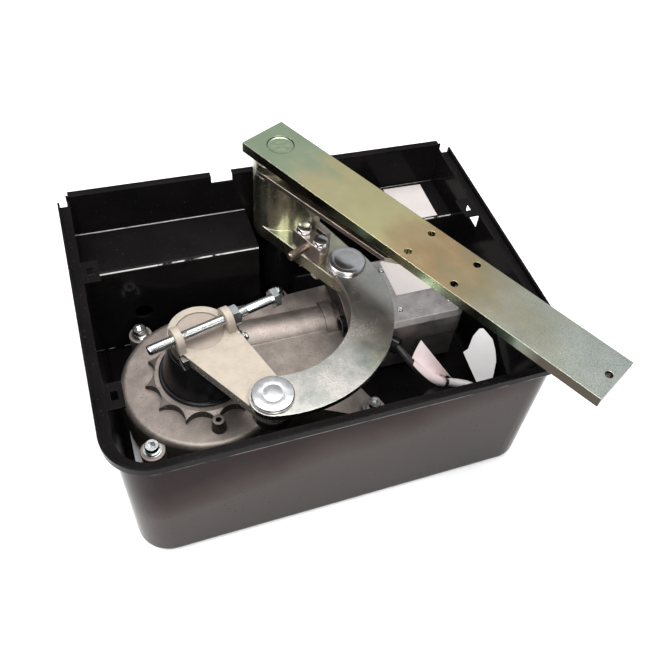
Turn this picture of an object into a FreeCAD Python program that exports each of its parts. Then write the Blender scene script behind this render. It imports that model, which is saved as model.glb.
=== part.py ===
"""Underground swing-gate operator in its open foundation box.

Row frame: origin under the middle of the box, +X right, +Y towards the gate pivot, +Z up.
Millimetres and degrees. A four-bar parallelogram joins the gear motor's crank to the gate lever.
"""
import FreeCAD, Part
import math
import os
import re
import Sketcher

# Driving sizes. Places are in the row frame unless a name says "from the crank axis".
SIZES = {
    # Folded box: outer size over the rim, sheet and rim section
    "box_width": 400, "box_depth": 310, "box_height": 168, "box_sheet": 2,
    "side_rim": 8, "back_rim": 5, "rim_lip": 6, "corner_radius": 30, "floor_bend": 5,
    "notch_place": -46, "notch_width": 21, "notch_depth": 9,
    "drain_place": -32, "drain_length": 44, "drain_width": 12, "drain_from_wall": 1.5,
    # Lid tabs, cut from the side walls and bent in under the rim
    "tab_length": 25, "tab_width": 14, "tab_slot_length": 9, "tab_slot_width": 6, "tab_relief": 1,
    "tab_back": 55, "tab_front": 79,
    # Shelves at the back of the well
    "shelf_level": 119, "shelf_depth": 65, "shelf_sheet": 3, "shelf_bend": 5,
    "shelf_left_end": -24, "shelf_right_end": 128,
    "shelf_hole_radius": 9, "shelf_hole_place": -145, "shelf_hole_level": 56,
    # Linkage: crank axis, gate axis, equal cranks and the levels of the moving plates
    "crank_from_side": 96, "crank_from_gate": 130, "gate_x": 5.5, "gate_from_back": 34,
    "crank_length": 98, "rest_angle": -64.5, "arm_angle": -62, "plate_level": 132,
    "swing_gap": 0.4, "run_clearance": 0.05, "seat_depth": 7,
    # Gate lever casting
    "hub_radius": 26, "gate_plate": 15, "gate_eye": 20, "bush_wall": 3, "bush_length": 22,
    "web_length": 52, "web_half": 6, "web_blend": 14, "web_end_height": 34,
    "web_slope_start": 30,
    # Pivot post and its foot
    "post_radius": 13, "column_radius": 18, "collar_radius": 24, "foot_length": 56, "foot_width": 52,
    "foot_thickness": 8, "ball_radius": 6.8, "column_flare": 4, "collar_height": 4,
    # Lock block and its bolts
    "lock_start": 43, "lock_length": 38, "lock_width": 15, "lock_offset": 13.5, "lock_height": 22,
    "lock_relief": 1.2, "lock_bolt_edge": 8, "lock_bolt_pitch": 23, "lock_slot": 6, "lock_slot_depth": 9,
    "tongue_width": 14, "tongue_end": 3,
    "release_radius": 4, "release_length": 30, "release_bite": 9, "release_level": 145,
    "release_travel": 6, "release_bevel": 1,
    # Gate arm: flat bar, lock plate, collar and plug
    "lock_plate_level": 193, "lock_plate": 5, "lock_plate_reach": 152, "lock_plate_end": 21,
    "lock_plate_nose": 7,
    "arm_collar": 9, "arm_length": 395, "arm_width": 50, "arm_thickness": 10, "arm_overhang": 25,
    "arm_hole_radius": 3.4, "arm_hole_first": 171, "arm_hole_pitch": 50, "arm_hole_gauge": 32,
    "arm_tip_hole": 8, "plug_radius": 13, "plug_sink": 0.8,
    # Link and its pins
    "link_width": 40, "link_sagitta": 52, "link_thickness": 6, "pin_radius": 8, "pin_head_radius": 18.2,
    "pin_head": 4.4, "pin_head_chamfer": 1.2, "pin_tail": 2, "clip_thickness": 1.5, "clip_radius": 11.5,
    "link_bush_wall": 2,
    # Drive lever casting on the output shaft
    "crank_hub": 28, "crank_eye": 17, "crank_plate": 11, "crank_bush_wall": 3, "crank_bush_flange": 9,
    "crank_bush_radius": 17.6, "shaft_radius": 15, "cap_radius": 21.6, "cap_thickness": 2.5,
    "cap_sink": 1.5, "hub_drop": 5,
    "ear_place": 6, "ear_half": 11, "ear_inner": 20.5, "ear_thickness": 6.5, "ear_turn": -11,
    # Metric hardware
    "stop_radius": 5, "stop_level": 141, "stop_tail": 50, "stop_reach": 69, "stop_head": 6.4,
    "stop_flats": 17, "stop_nut": 8, "small_radius": 4, "small_flats": 13, "small_head": 5.3,
    "small_nut": 6.5, "small_tail": 3, "clamp_gap": 0.6, "clamp_seat": 22.5, "seat_radius": 8.5,
    "washer_radius": 8.4, "washer": 1.6, "screw_head_radius": 6.5, "screw_head": 8,
    "socket_flats": 6, "socket_depth": 4,
    # Gearbox casting, placed from the crank axis
    "body_radius": 79, "gear_floor": 10, "gear_top": 61, "body_edge": 6, "gear_wall": 5,
    "star_radius": 66, "star_floor": 46, "star_height": 10, "star_ribs": 12, "star_root": 1,
    "worm_offset": 41, "worm_level": 47, "tunnel_radius": 22, "tunnel_start": 44, "tunnel_collar": 25.5,
    "collar_start": 131, "collar_length": 11, "neck_end": 148, "neck_half": 43, "neck_knee": 92,
    "neck_shoulder": 47.4, "cavity_radius": 38, "tunnel_bore": 11,
    "lug_radius": 11, "lug_top": 56, "lug_hole_radius": 4.2,
    "lug_web": 8.8, "web_far": 126, "web_near": 74,
    "rear_left_reach": 86, "rear_left_bearing": 125, "front_left_reach": 88, "front_left_bearing": 226,
    "front_right_reach": 165, "front_right_bearing": -27, "rear_right_reach": 128, "rear_right_bearing": 42,
    "boss_radius": 7, "boss_height": 15, "boss_taper": 6, "boss_hole_radius": 2.6, "boss_place": 60,
    "cover_radius": 62, "cover_thickness": 4, "cover_screw_circle": 54, "cover_screws": 6,
    "cover_screw_flats": 10, "cover_screw_head": 3, "cover_screw_bearing": 15,
    "shroud_flange": 42, "shroud_flange_height": 3, "shroud_edge": 1, "shroud_radius": 30,
    "shroud_foot": 39, "shroud_gap": 3,
    "bearing_radius": 22, "bearing_width": 9,
    # Worm drive and motor, placed from the crank axis
    "wheel_radius": 32.2, "wheel_width": 10, "wheel_teeth": 40, "tooth_depth": 3, "tooth_gap": 2.4,
    "tooth_foot_gap": 1.44, "tooth_cut_over": 1,
    "worm_radius": 8.5, "worm_root": 6.4, "worm_pitch": 5.2, "worm_turns": 8,
    "thread_foot": 0.4, "thread_flank": 1.82,
    "worm_shaft_radius": 6, "worm_tail": 36, "rear_bearing": 7, "front_bearing": 9, "tail_bearing": 8,
    "tail_gap": 4, "shaft_room": 1,
    "motor_flange_radius": 43, "motor_flange": 9, "motor_from_side": 23, "motor_half": 47,
    "motor_top": 84, "motor_split": 54, "motor_bottom": 11, "motor_step": 3, "motor_edge": 7,
    "motor_bevel": 4.5, "motor_bore": 28.6, "motor_end_wall": 6, "stator_bore": 17.2, "stator_start": 22,
    "stator_end": 30, "rotor_gap": 0.5, "inspection_radius": 9.5, "inspection_offset": 22,
    "inspection_depth": 5, "inspection_wall": 3.5,
    # Motor lead: gland on the motor, coil from the box's front right corner
    "cable_radius": 4, "gland_radius": 8.5, "gland_length": 12, "gland_place": 31, "gland_level": 60,
    "coil_from_side": 53, "coil_from_front": 49, "coil_mean": 40, "coil_layers": 3,
    "coil_join_x": 20, "coil_join_y": 36,
}

# Derived places, written as formulas of the sizes above
RIM_LEVEL = "(box_height - rim_lip)"
WALL_X = "(box_width / 2 - side_rim)"
WALL_FRONT = "(side_rim - box_depth / 2)"
WALL_BACK = "(box_depth / 2 - back_rim)"
INNER_X = f"({WALL_X} - box_sheet)"
INNER_FRONT = f"({WALL_FRONT} + box_sheet)"
INNER_BACK = f"({WALL_BACK} - box_sheet)"
GATE_Y = "(box_depth / 2 - gate_from_back)"
CRANK_X = "(crank_from_side - box_width / 2)"
CRANK_Y = f"({GATE_Y} - crank_from_gate)"
SHELF_FRONT = "(box_depth / 2 - shelf_depth)"
LINK_LOW = "(plate_level + swing_gap)"
LINK_TOP = f"({LINK_LOW} + link_thickness)"
GATE_LOW = "(plate_level - gate_plate)"
CRANK_LOW = "(plate_level - crank_plate)"
HUB_TOP = "(lock_plate_level - swing_gap)"
COLLAR_LOW = "(lock_plate_level + lock_plate)"
ARM_LOW = f"({COLLAR_LOW} + arm_collar)"
ARM_TOP = f"({ARM_LOW} + arm_thickness)"
STAR_TOP = "(gear_top + star_height)"
BUSH_BORE = "(post_radius + run_clearance)"
BUSH_OUT = "(post_radius + run_clearance + bush_wall)"
MOTOR_START = "(neck_end + motor_flange)"
MOTOR_END = f"({INNER_X} - motor_from_side - {CRANK_X})"
MOTOR_LENGTH = f"({MOTOR_END} - {MOTOR_START})"
STATOR_LENGTH = f"({MOTOR_LENGTH} - stator_start - stator_end)"
MOTOR_FACE = f"({CRANK_Y} + worm_offset - motor_half)"
POST_TOP = f"({ARM_LOW} - seat_depth)"
LOCK_BOLTS = {"first": "(lock_start + lock_bolt_edge)",
              "second": "(lock_start + lock_bolt_edge + lock_bolt_pitch)"}
RELEASE_PLACE = "(lock_start + lock_bolt_edge + lock_bolt_pitch / 2)"
EAR_OUT = "(ear_inner + ear_thickness)"
CAP_LOW = "(plate_level - cap_sink - cap_thickness)"
CLAMP_LEVEL = f"({CAP_LOW} - small_radius - clamp_gap)"
CLAMP_PLACE = "(shaft_radius + small_radius + clamp_gap)"
HUB_LOW = f"({CRANK_LOW} - hub_drop)"
SHELF_LOW = "(box_sheet + floor_bend)"
CRANK_REACH = ("crank_length * cos(rest_angle * 1deg)", "crank_length * sin(rest_angle * 1deg)")
PIN_A = (f"{CRANK_X} + {CRANK_REACH[0]}", f"{CRANK_Y} + {CRANK_REACH[1]}")
PIN_B = (f"gate_x + {CRANK_REACH[0]}", f"{GATE_Y} + {CRANK_REACH[1]}")

# Lugs of the gearbox casting, from the crank axis
LUG_PLACES = {name: [f"{name}_reach * {turn}({name}_bearing * 1deg)" for turn in ("cos", "sin")]
              for name in ("rear_left", "front_left", "front_right", "rear_right")}

# The lead leaves the gland, drops towards the floor and joins the top turn of its coil. Its corners are
# shares of the way from the gland's seat to that join, along X, Y and Z.
GLAND_X = f"({CRANK_X} + {MOTOR_START} + gland_place)"
COIL_X = f"({INNER_X} - coil_from_side)"
COIL_Y = f"({INNER_FRONT} + coil_from_front)"
COIL_TOP = "(box_sheet + (2 * coil_layers - 1) * cable_radius)"
LEAD_START = (GLAND_X, MOTOR_FACE, "gland_level")
LEAD_JOIN = (f"({COIL_X} + coil_join_x)", f"({COIL_Y} + coil_join_y)", COIL_TOP)
LEAD_SHARES = [(0.034, 0.064, 0), (0.185, 0.349, 0), (0.336, 0.607, 0.15), (0.479, 0.789, 0.434),
               (0.637, 0.889, 0.724), (0.808, 0.933, 0.921), (1, 1, 1)]
LEAD_ROUTE = [[f"{start} + {share} * ({join} - {start})"
               for start, join, share in zip(LEAD_START, LEAD_JOIN, shares)] for shares in LEAD_SHARES]
GLAND_RUN = [f"({after}) - ({before})" for before, after in zip(*LEAD_ROUTE[:2])]
GLAND_TURN = f"atan2({GLAND_RUN[1]}; {GLAND_RUN[0]})"
ARC_SHARE = 0.45
NEAR = 1e-3

doc = FreeCAD.newDocument("underground_gate_operator")
dims = doc.addObject("Spreadsheet::Sheet", "dims")
for row, (alias, value) in enumerate(SIZES.items(), start=1):
    dims.set(f"A{row}", alias)
    dims.set(f"B{row}", str(value))
    dims.setAlias(f"B{row}", alias)
doc.recompute()

NODES = []


def formula(text):
    """Point every size named in a formula at its cell."""
    def cell(word):
        return "dims." + word.group() if word.group() in SIZES else word.group()

    return re.sub(r"[A-Za-z_]\w*", cell, str(text))


def number(text):
    """Value of a formula now."""
    value = dims.evalExpression(formula(text))
    return float(getattr(value, "Value", value))


def bind(thing, **formulas):
    """Bind properties to formulas; two underscores stand for a dot."""
    for name, text in formulas.items():
        thing.setExpression(name.replace("__", "."), formula(text))
    return thing


def put(thing, x=0, y=0, z=0, axis=None, angle=0):
    """Place an object by formulas, after turning it about an axis."""
    if axis is not None:
        turn = FreeCAD.Rotation(FreeCAD.Vector(*axis), number(angle))
        thing.Placement = FreeCAD.Placement(FreeCAD.Vector(), turn)
    return bind(thing, Placement__Base__x=x, Placement__Base__y=y, Placement__Base__z=z)


def node(thing, label):
    """Name an object as one piece of the product."""
    thing.Label = label
    NODES.append(thing)
    return thing


def on_crank_axis(thing):
    return put(thing, CRANK_X, CRANK_Y)


def on_gate_axis(thing):
    return put(thing, "gate_x", GATE_Y)


def turn_to(thing, angle):
    thing.Placement.Rotation = FreeCAD.Rotation(FreeCAD.Vector(0, 0, 1), 1)
    return bind(thing, Placement__Rotation__Angle=angle)


def on_crank(thing):
    """Drive lever frame: +X from the shaft to the crank pin."""
    return turn_to(on_crank_axis(thing), "rest_angle")


def on_ears(thing):
    """Drive lever frame turned to the line of its ears."""
    return turn_to(on_crank_axis(thing), "rest_angle + ear_turn")


def on_gate(thing):
    """Gate lever frame: +X from the gate axis to the link pin."""
    return turn_to(on_gate_axis(thing), "rest_angle")


def on_arm(thing):
    """Gate arm frame: +X along the bar."""
    return turn_to(on_gate_axis(thing), "arm_angle")


# Solid primitives and booleans
TURN = {"Z": (None, 0), "X": ((0, 1, 0), 90), "Y": ((1, 0, 0), -90)}


def cylinder(name, radius, height, x=0, y=0, z=0, along="Z"):
    axis, angle = TURN[along]
    thing = bind(doc.addObject("Part::Cylinder", name), Radius=radius, Height=height)
    return put(thing, x, y, z, axis, angle)


def cone(name, near_radius, far_radius, height, x=0, y=0, z=0, along="Z"):
    axis, angle = TURN[along]
    thing = bind(doc.addObject("Part::Cone", name), Radius1=near_radius, Radius2=far_radius, Height=height)
    return put(thing, x, y, z, axis, angle)


def block(name, length, width, height, x=0, y=0, z=0):
    thing = bind(doc.addObject("Part::Box", name), Length=length, Width=width, Height=height)
    return put(thing, x, y, z)


def hexagon(name, flats, height, x=0, y=0, z=0, along="Z"):
    axis, angle = TURN[along]
    thing = doc.addObject("Part::Prism", name)
    thing.Polygon = 6
    bind(thing, Circumradius=f"({flats}) / sqrt(3)", Height=height)
    return put(thing, x, y, z, axis, angle)


def fuse(name, pieces):
    thing = doc.addObject("Part::MultiFuse", name)
    thing.Shapes = pieces
    return thing


def cut(name, base, tool):
    thing = doc.addObject("Part::Cut", name)
    thing.Base = base
    thing.Tool = tool
    return thing


def group(name, pieces):
    thing = doc.addObject("Part::Compound", name)
    thing.Links = pieces
    return thing


def ring(name, outer, inner, height, x=0, y=0, z=0, along="Z"):
    return cut(name, cylinder(name + "_outer", outer, height, x, y, z, along),
               cylinder(name + "_inner", inner, height, x, y, z, along))


# Sketches and features of a body
def new_body(label):
    return node(doc.addObject("PartDesign::Body", label), label)


def plane_of(body, role):
    return next(part for part in body.Origin.OriginFeatures if part.Role == role)


def sketch_on(body, role="XY_Plane", offset=0):
    sketch = body.newObject("Sketcher::SketchObject", body.Name + "_sketch")
    sketch.AttachmentSupport = [(plane_of(body, role), "")]
    sketch.MapMode = "FlatFace"
    return bind(sketch, AttachmentOffset__Base__z=offset)


def askew_sketch(body, offset, turn):
    """Upright sketch like the XZ plane's, turned about the body's Z axis."""
    sketch = sketch_on(body, "XZ_Plane")
    sketch.AttachmentOffset.Rotation = FreeCAD.Rotation(FreeCAD.Vector(0, 1, 0), number(turn))
    return bind(sketch, AttachmentOffset__Rotation__Angle=turn,
                AttachmentOffset__Base__x=f"({offset}) * sin({turn} * 1deg)",
                AttachmentOffset__Base__z=f"({offset}) * cos({turn} * 1deg)")


def limit(sketch, kind, *places, text):
    """Add a dimension and bind it to a formula."""
    index = sketch.addConstraint(Sketcher.Constraint(kind, *places, number(text)))
    sketch.setExpression(f"Constraints[{index}]", formula(text))


def pin_down(sketch, geometry, point, x, y):
    limit(sketch, "DistanceX", -1, 1, geometry, point, text=x)
    limit(sketch, "DistanceY", -1, 1, geometry, point, text=y)


def vector(x, y):
    return FreeCAD.Vector(number(x), number(y), 0)


def polygon(sketch, corners):
    count = len(corners)
    first = sketch.GeometryCount
    for index, (x, y) in enumerate(corners):
        x_next, y_next = corners[(index + 1) % count]
        sketch.addGeometry(Part.LineSegment(vector(x, y), vector(x_next, y_next)))
    for index, (x, y) in enumerate(corners):
        following = first + (index + 1) % count
        sketch.addConstraint(Sketcher.Constraint("Coincident", first + index, 2, following, 1))
        pin_down(sketch, first + index, 1, x, y)
    return sketch


def rectangle(sketch, x, width, y, height):
    """Rectangle about a middle."""
    left, right = f"{x} - {width} / 2", f"{x} + {width} / 2"
    low, high = f"{y} - {height} / 2", f"{y} + {height} / 2"
    return polygon(sketch, [(left, low), (right, low), (right, high), (left, high)])


def circle(sketch, radius, x=0, y=0):
    index = sketch.addGeometry(Part.Circle(vector(x, y), FreeCAD.Vector(0, 0, 1), number(radius)))
    limit(sketch, "Radius", index, text=radius)
    pin_down(sketch, index, 3, x, y)
    return sketch


def arc(sketch, centre, radius, start, end):
    """Counter-clockwise arc between two bearings in degrees."""
    base = Part.Circle(centre, FreeCAD.Vector(0, 0, 1), radius)
    return sketch.addGeometry(Part.ArcOfCircle(base, math.radians(start), math.radians(end)))


def join_tangent(sketch, *pairs):
    for first, first_point, second, second_point in pairs:
        sketch.addConstraint(Sketcher.Constraint("Tangent", first, first_point, second, second_point))


def lever_outline(sketch, near_radius, far_radius, length):
    """Two round ends joined by their outer tangents."""
    near, far, reach = number(near_radius), number(far_radius), number(length)
    lean = math.degrees(math.acos((near - far) / reach))
    near_end = arc(sketch, FreeCAD.Vector(), near, lean, 360 - lean)
    far_end = arc(sketch, FreeCAD.Vector(reach, 0, 0), far, -lean, lean)
    tip = [sketch.getPoint(near_end, 1), sketch.getPoint(near_end, 2), sketch.getPoint(far_end, 1),
           sketch.getPoint(far_end, 2)]
    upper = sketch.addGeometry(Part.LineSegment(tip[3], tip[0]))
    lower = sketch.addGeometry(Part.LineSegment(tip[1], tip[2]))
    join_tangent(sketch, (far_end, 2, upper, 1), (upper, 2, near_end, 1), (near_end, 2, lower, 1),
                 (lower, 2, far_end, 1))
    limit(sketch, "Radius", near_end, text=near_radius)
    limit(sketch, "Radius", far_end, text=far_radius)
    pin_down(sketch, near_end, 3, 0, 0)
    pin_down(sketch, far_end, 3, length, 0)
    return sketch


def curved_band(sketch, reach, rise, width):
    """Band of even width that bows towards -Y between two round ends on the X axis."""
    span, sag, wide = number(reach), number(rise), number(width)
    radius = (span ** 2 / 4 + sag ** 2) / (2 * sag)
    centre = FreeCAD.Vector(span / 2, radius - sag, 0)
    half = math.degrees(math.asin(span / 2 / radius))
    start, end = 270 - half, 270 + half
    outer = arc(sketch, centre, radius + wide / 2, start, end)
    inner = arc(sketch, centre, radius - wide / 2, start, end)
    near = arc(sketch, FreeCAD.Vector(), wide / 2, start - 180, start)
    far = arc(sketch, FreeCAD.Vector(span, 0, 0), wide / 2, end, end + 180)
    join_tangent(sketch, (near, 2, outer, 1), (outer, 2, far, 1), (far, 2, inner, 2), (inner, 1, near, 1))
    limit(sketch, "Radius", near, text=f"({width}) / 2")
    middle = f"(({reach}) ^ 2 / 4 + ({rise}) ^ 2) / (2 * ({rise}))"
    limit(sketch, "Radius", outer, text=f"{middle} + ({width}) / 2")
    pin_down(sketch, near, 3, 0, 0)
    pin_down(sketch, far, 3, reach, 0)
    return sketch


def tray_outline(sketch, half, front, back, radius):
    """Rectangle whose two front corners are round."""
    side, near, far, bend = number(half), number(front), number(back), number(radius)
    corner = side - bend

    def line(x0, y0, x1, y1):
        return sketch.addGeometry(Part.LineSegment(FreeCAD.Vector(x0, y0, 0), FreeCAD.Vector(x1, y1, 0)))

    front_edge = line(-corner, near, corner, near)
    right_bend = arc(sketch, FreeCAD.Vector(corner, near + bend, 0), bend, 270, 360)
    right_edge = line(side, near + bend, side, far)
    back_edge = line(side, far, -side, far)
    left_edge = line(-side, far, -side, near + bend)
    left_bend = arc(sketch, FreeCAD.Vector(-corner, near + bend, 0), bend, 180, 270)
    join_tangent(sketch, (front_edge, 2, right_bend, 1), (right_bend, 2, right_edge, 1),
                 (left_edge, 2, left_bend, 1), (left_bend, 2, front_edge, 1))
    for edge, following in ((right_edge, back_edge), (back_edge, left_edge)):
        sketch.addConstraint(Sketcher.Constraint("Coincident", edge, 2, following, 1))
    for bend_arc in (right_bend, left_bend):
        limit(sketch, "Radius", bend_arc, text=radius)
    pin_down(sketch, right_edge, 2, half, back)
    pin_down(sketch, left_edge, 1, f"-({half})", back)
    limit(sketch, "DistanceY", -1, 1, front_edge, 1, text=front)
    sketch.addConstraint(Sketcher.Constraint("Vertical", right_edge))
    sketch.addConstraint(Sketcher.Constraint("Vertical", left_edge))
    return sketch


def arch_outline(sketch, middle, half, low, level):
    """Lug with straight sides and a half-round top."""
    centre_x, side, base, rise = number(middle), number(half), number(low), number(level)
    top = arc(sketch, FreeCAD.Vector(centre_x, rise, 0), side, 0, 180)
    left, right = centre_x - side, centre_x + side
    corners = [(left, rise), (left, base), (right, base), (right, rise)]
    lines = [sketch.addGeometry(Part.LineSegment(FreeCAD.Vector(*a, 0), FreeCAD.Vector(*b, 0)))
             for a, b in zip(corners, corners[1:])]
    join_tangent(sketch, (top, 2, lines[0], 1), (lines[2], 2, top, 1))
    for edge, following in zip(lines, lines[1:]):
        sketch.addConstraint(Sketcher.Constraint("Coincident", edge, 2, following, 1))
    limit(sketch, "Radius", top, text=half)
    pin_down(sketch, top, 3, middle, level)
    limit(sketch, "DistanceY", -1, 1, lines[1], 1, text=low)
    sketch.addConstraint(Sketcher.Constraint("Horizontal", lines[1]))
    return sketch


def pad(body, sketch, length, backwards=False):
    feature = body.newObject("PartDesign::Pad", body.Name + "_pad")
    feature.Profile = sketch
    feature.Reversed = backwards
    bind(feature, Length=length)
    doc.recompute()
    return feature


def pocket(body, sketch, length, backwards=False):
    before = body.Shape.Volume
    feature = body.newObject("PartDesign::Pocket", body.Name + "_pocket")
    feature.Profile = sketch
    feature.Reversed = backwards
    bind(feature, Length=length)
    doc.recompute()
    if body.Shape.Volume >= before:
        raise ValueError(f"{body.Label}: a pocket removes nothing")
    return feature


def revolve(body, sketch):
    feature = body.newObject("PartDesign::Revolution", body.Name + "_turn")
    feature.Profile = sketch
    feature.ReferenceAxis = (sketch, ["V_Axis"])
    feature.Angle = 360
    doc.recompute()
    return feature


def dress_edges(body, kind, wanted, **sizes):
    """Fillet or chamfer every edge of the body's last feature that the test accepts."""
    base = body.Tip
    names = [f"Edge{index}" for index, edge in enumerate(base.Shape.Edges, start=1) if wanted(edge)]
    feature = body.newObject("PartDesign::" + kind, f"{body.Name}_{kind}")
    feature.Base = (base, names)
    bind(feature, **sizes)
    doc.recompute()
    return feature


def round_edges(body, radius, wanted):
    return dress_edges(body, "Fillet", wanted, Radius=radius)


def bevel_edges(body, size, wanted):
    return dress_edges(body, "Chamfer", wanted, Size=size)


def at_level(text):
    """Edges that lie flat at a level."""
    level = number(text)
    return lambda edge: edge.BoundBox.ZLength < NEAR and all(
        abs(vertex.Z - level) < NEAR for vertex in edge.Vertexes)


def upright_at(x, y):
    """Edges that stand upright at (x, y) and at (x, -y)."""
    place_x, place_y = number(x), number(y)
    return lambda edge: edge.BoundBox.ZLength > NEAR and all(
        abs(vertex.X - place_x) < NEAR and abs(abs(vertex.Y) - place_y) < NEAR for vertex in edge.Vertexes)


def turned(label, profile):
    """Piece turned about its own Z axis from a profile of (radius, level) corners."""
    body = new_body(label)
    revolve(body, polygon(sketch_on(body, "XZ_Plane"), profile))
    return body


# Foundation box: folded walls, rim with an upturned lip, open back corners
def foundation_box():
    body = new_body("foundation_box")
    rim_x, rim_front = "box_width / 2", "-box_depth / 2"
    rim_radius = "corner_radius + side_rim"
    pad(body, tray_outline(sketch_on(body), WALL_X, WALL_FRONT, WALL_BACK, "corner_radius"), RIM_LEVEL)
    pad(body, tray_outline(sketch_on(body, offset=f"{RIM_LEVEL} - box_sheet"), rim_x, rim_front, WALL_BACK,
                           rim_radius), "box_sheet + rim_lip")
    pocket(body, tray_outline(sketch_on(body, offset="box_height"), f"{rim_x} - box_sheet",
                              f"{rim_front} + box_sheet", INNER_BACK, f"{rim_radius} - box_sheet"), "rim_lip")
    pocket(body, tray_outline(sketch_on(body, offset=RIM_LEVEL), INNER_X, INNER_FRONT, INNER_BACK,
                              "corner_radius - box_sheet"), f"{RIM_LEVEL} - box_sheet")
    round_edges(body, "floor_bend", at_level("box_sheet"))
    round_edges(body, "floor_bend + box_sheet", at_level("0"))
    back_flange = polygon(sketch_on(body, offset="box_height - box_sheet"),
                          [(f"-{INNER_X}", INNER_BACK), (INNER_X, INNER_BACK), (INNER_X, "box_depth / 2"),
                           (f"-{INNER_X}", "box_depth / 2")])
    pad(body, back_flange, "box_sheet")
    for side in (-1, 1):
        inner, outer, start = f"{side} * {WALL_X}", f"{side} * {rim_x}", f"{WALL_BACK} - side_rim"
        relief = polygon(sketch_on(body, offset="box_height"),
                         [(inner, start), (outer, start), (outer, WALL_BACK), (inner, WALL_BACK)])
        pocket(body, relief, "rim_lip + box_sheet")
    notch = rectangle(sketch_on(body, "XZ_Plane", "-box_depth / 2"), "notch_place", "notch_width",
                      "box_height - notch_depth / 2", "notch_depth")
    pocket(body, notch, "back_rim + box_sheet", backwards=True)
    cut_height = "(tab_width + box_sheet + tab_relief)"
    for wall in (WALL_X, f"-{INNER_X}"):
        for place in ("tab_back", "-tab_front"):
            window = rectangle(sketch_on(body, "YZ_Plane", wall), place, "(tab_length + 2 * tab_relief)",
                               f"{RIM_LEVEL} - box_sheet - {cut_height} / 2", cut_height)
            pocket(body, window, "box_sheet")
    drain = rectangle(sketch_on(body, offset="box_sheet"),
                      f"floor_bend + drain_from_wall + drain_width / 2 - {INNER_X}", "drain_width",
                      "drain_place", "drain_length")
    pocket(body, drain, "box_sheet")


def lid_tabs():
    tabs = []
    for name, edge in (("left", f"-{INNER_X}"), ("right", f"{INNER_X} - tab_width")):
        for end, place in (("rear", "tab_back"), ("front", "-tab_front")):
            level = f"{RIM_LEVEL} - box_sheet"
            plate = block(f"tab_{name}_{end}_plate", "tab_width", "tab_length", "box_sheet", edge,
                          f"{place} - tab_length / 2", level)
            slot = block(f"tab_{name}_{end}_slot", "tab_slot_width", "tab_slot_length", "box_sheet",
                         f"{edge} + (tab_width - tab_slot_width) / 2",
                         f"{place} - tab_slot_length / 2", level)
            tabs.append(cut(f"tab_{name}_{end}", plate, slot))
    node(group("lid_tab_group", tabs), "lid_tabs")


# Shelves: folded sheet with a front skirt down to the floor
def shelf(label, start, end, cheek, hole=False):
    body = new_body(label)
    inside, under = f"{SHELF_FRONT} + shelf_sheet", "shelf_level - shelf_sheet"
    wall = f"{INNER_BACK} - floor_bend"
    profile = [(SHELF_FRONT, SHELF_LOW), (SHELF_FRONT, "shelf_level"), (INNER_BACK, "shelf_level"),
               (INNER_BACK, under), (inside, under), (inside, SHELF_LOW)]
    pad(body, polygon(sketch_on(body, "YZ_Plane", start), profile), f"({end}) - ({start})")
    front, level = number(SHELF_FRONT), number("shelf_level")
    round_edges(body, "shelf_bend", lambda edge: all(
        abs(vertex.Y - front) < NEAR and abs(vertex.Z - level) < NEAR for vertex in edge.Vertexes))
    skirt = [(inside, SHELF_LOW), (inside, under), (wall, under), (wall, SHELF_LOW)]
    pad(body, polygon(sketch_on(body, "YZ_Plane", cheek), skirt), "shelf_sheet")
    if hole:
        pocket(body, circle(sketch_on(body, "XZ_Plane", f"-({inside})"), "shelf_hole_radius",
                            "shelf_hole_place", "shelf_hole_level"), "shelf_sheet", backwards=True)
    return body


# Pivot post, its ball and the lever's bushes
def pivot_post():
    foot_top, collar_low = "box_sheet + foot_thickness", f"{GATE_LOW} - collar_height"
    seat_radius, seat_low = "ball_radius + run_clearance", f"{POST_TOP} - seat_depth"
    body = turned("pivot_post", [
        (0, foot_top), ("column_radius", foot_top), ("column_radius", f"{collar_low} - column_flare"),
        ("collar_radius", collar_low), ("collar_radius", f"{GATE_LOW} - swing_gap"),
        ("post_radius", f"{GATE_LOW} - swing_gap"), ("post_radius", POST_TOP),
        (seat_radius, POST_TOP), (seat_radius, seat_low), (0, seat_low)])
    on_gate_axis(body)
    foot = block("post_foot", "foot_length", "foot_width", "foot_thickness", "gate_x - foot_length / 2",
                 f"{INNER_BACK} - floor_bend - foot_width", "box_sheet")
    node(foot, "post_foot")
    ball = doc.addObject("Part::Sphere", "ball")
    bind(ball, Radius="ball_radius")
    node(put(ball, "gate_x", GATE_Y, f"{POST_TOP} - seat_depth + ball_radius"), "pivot_ball")
    low = ring("low_bush", BUSH_OUT, BUSH_BORE, "bush_length", z=GATE_LOW)
    high = ring("high_bush", BUSH_OUT, BUSH_BORE, "bush_length", z=f"{HUB_TOP} - bush_length")
    node(on_gate_axis(group("bush_group", [low, high])), "lever_bushes")


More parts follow.
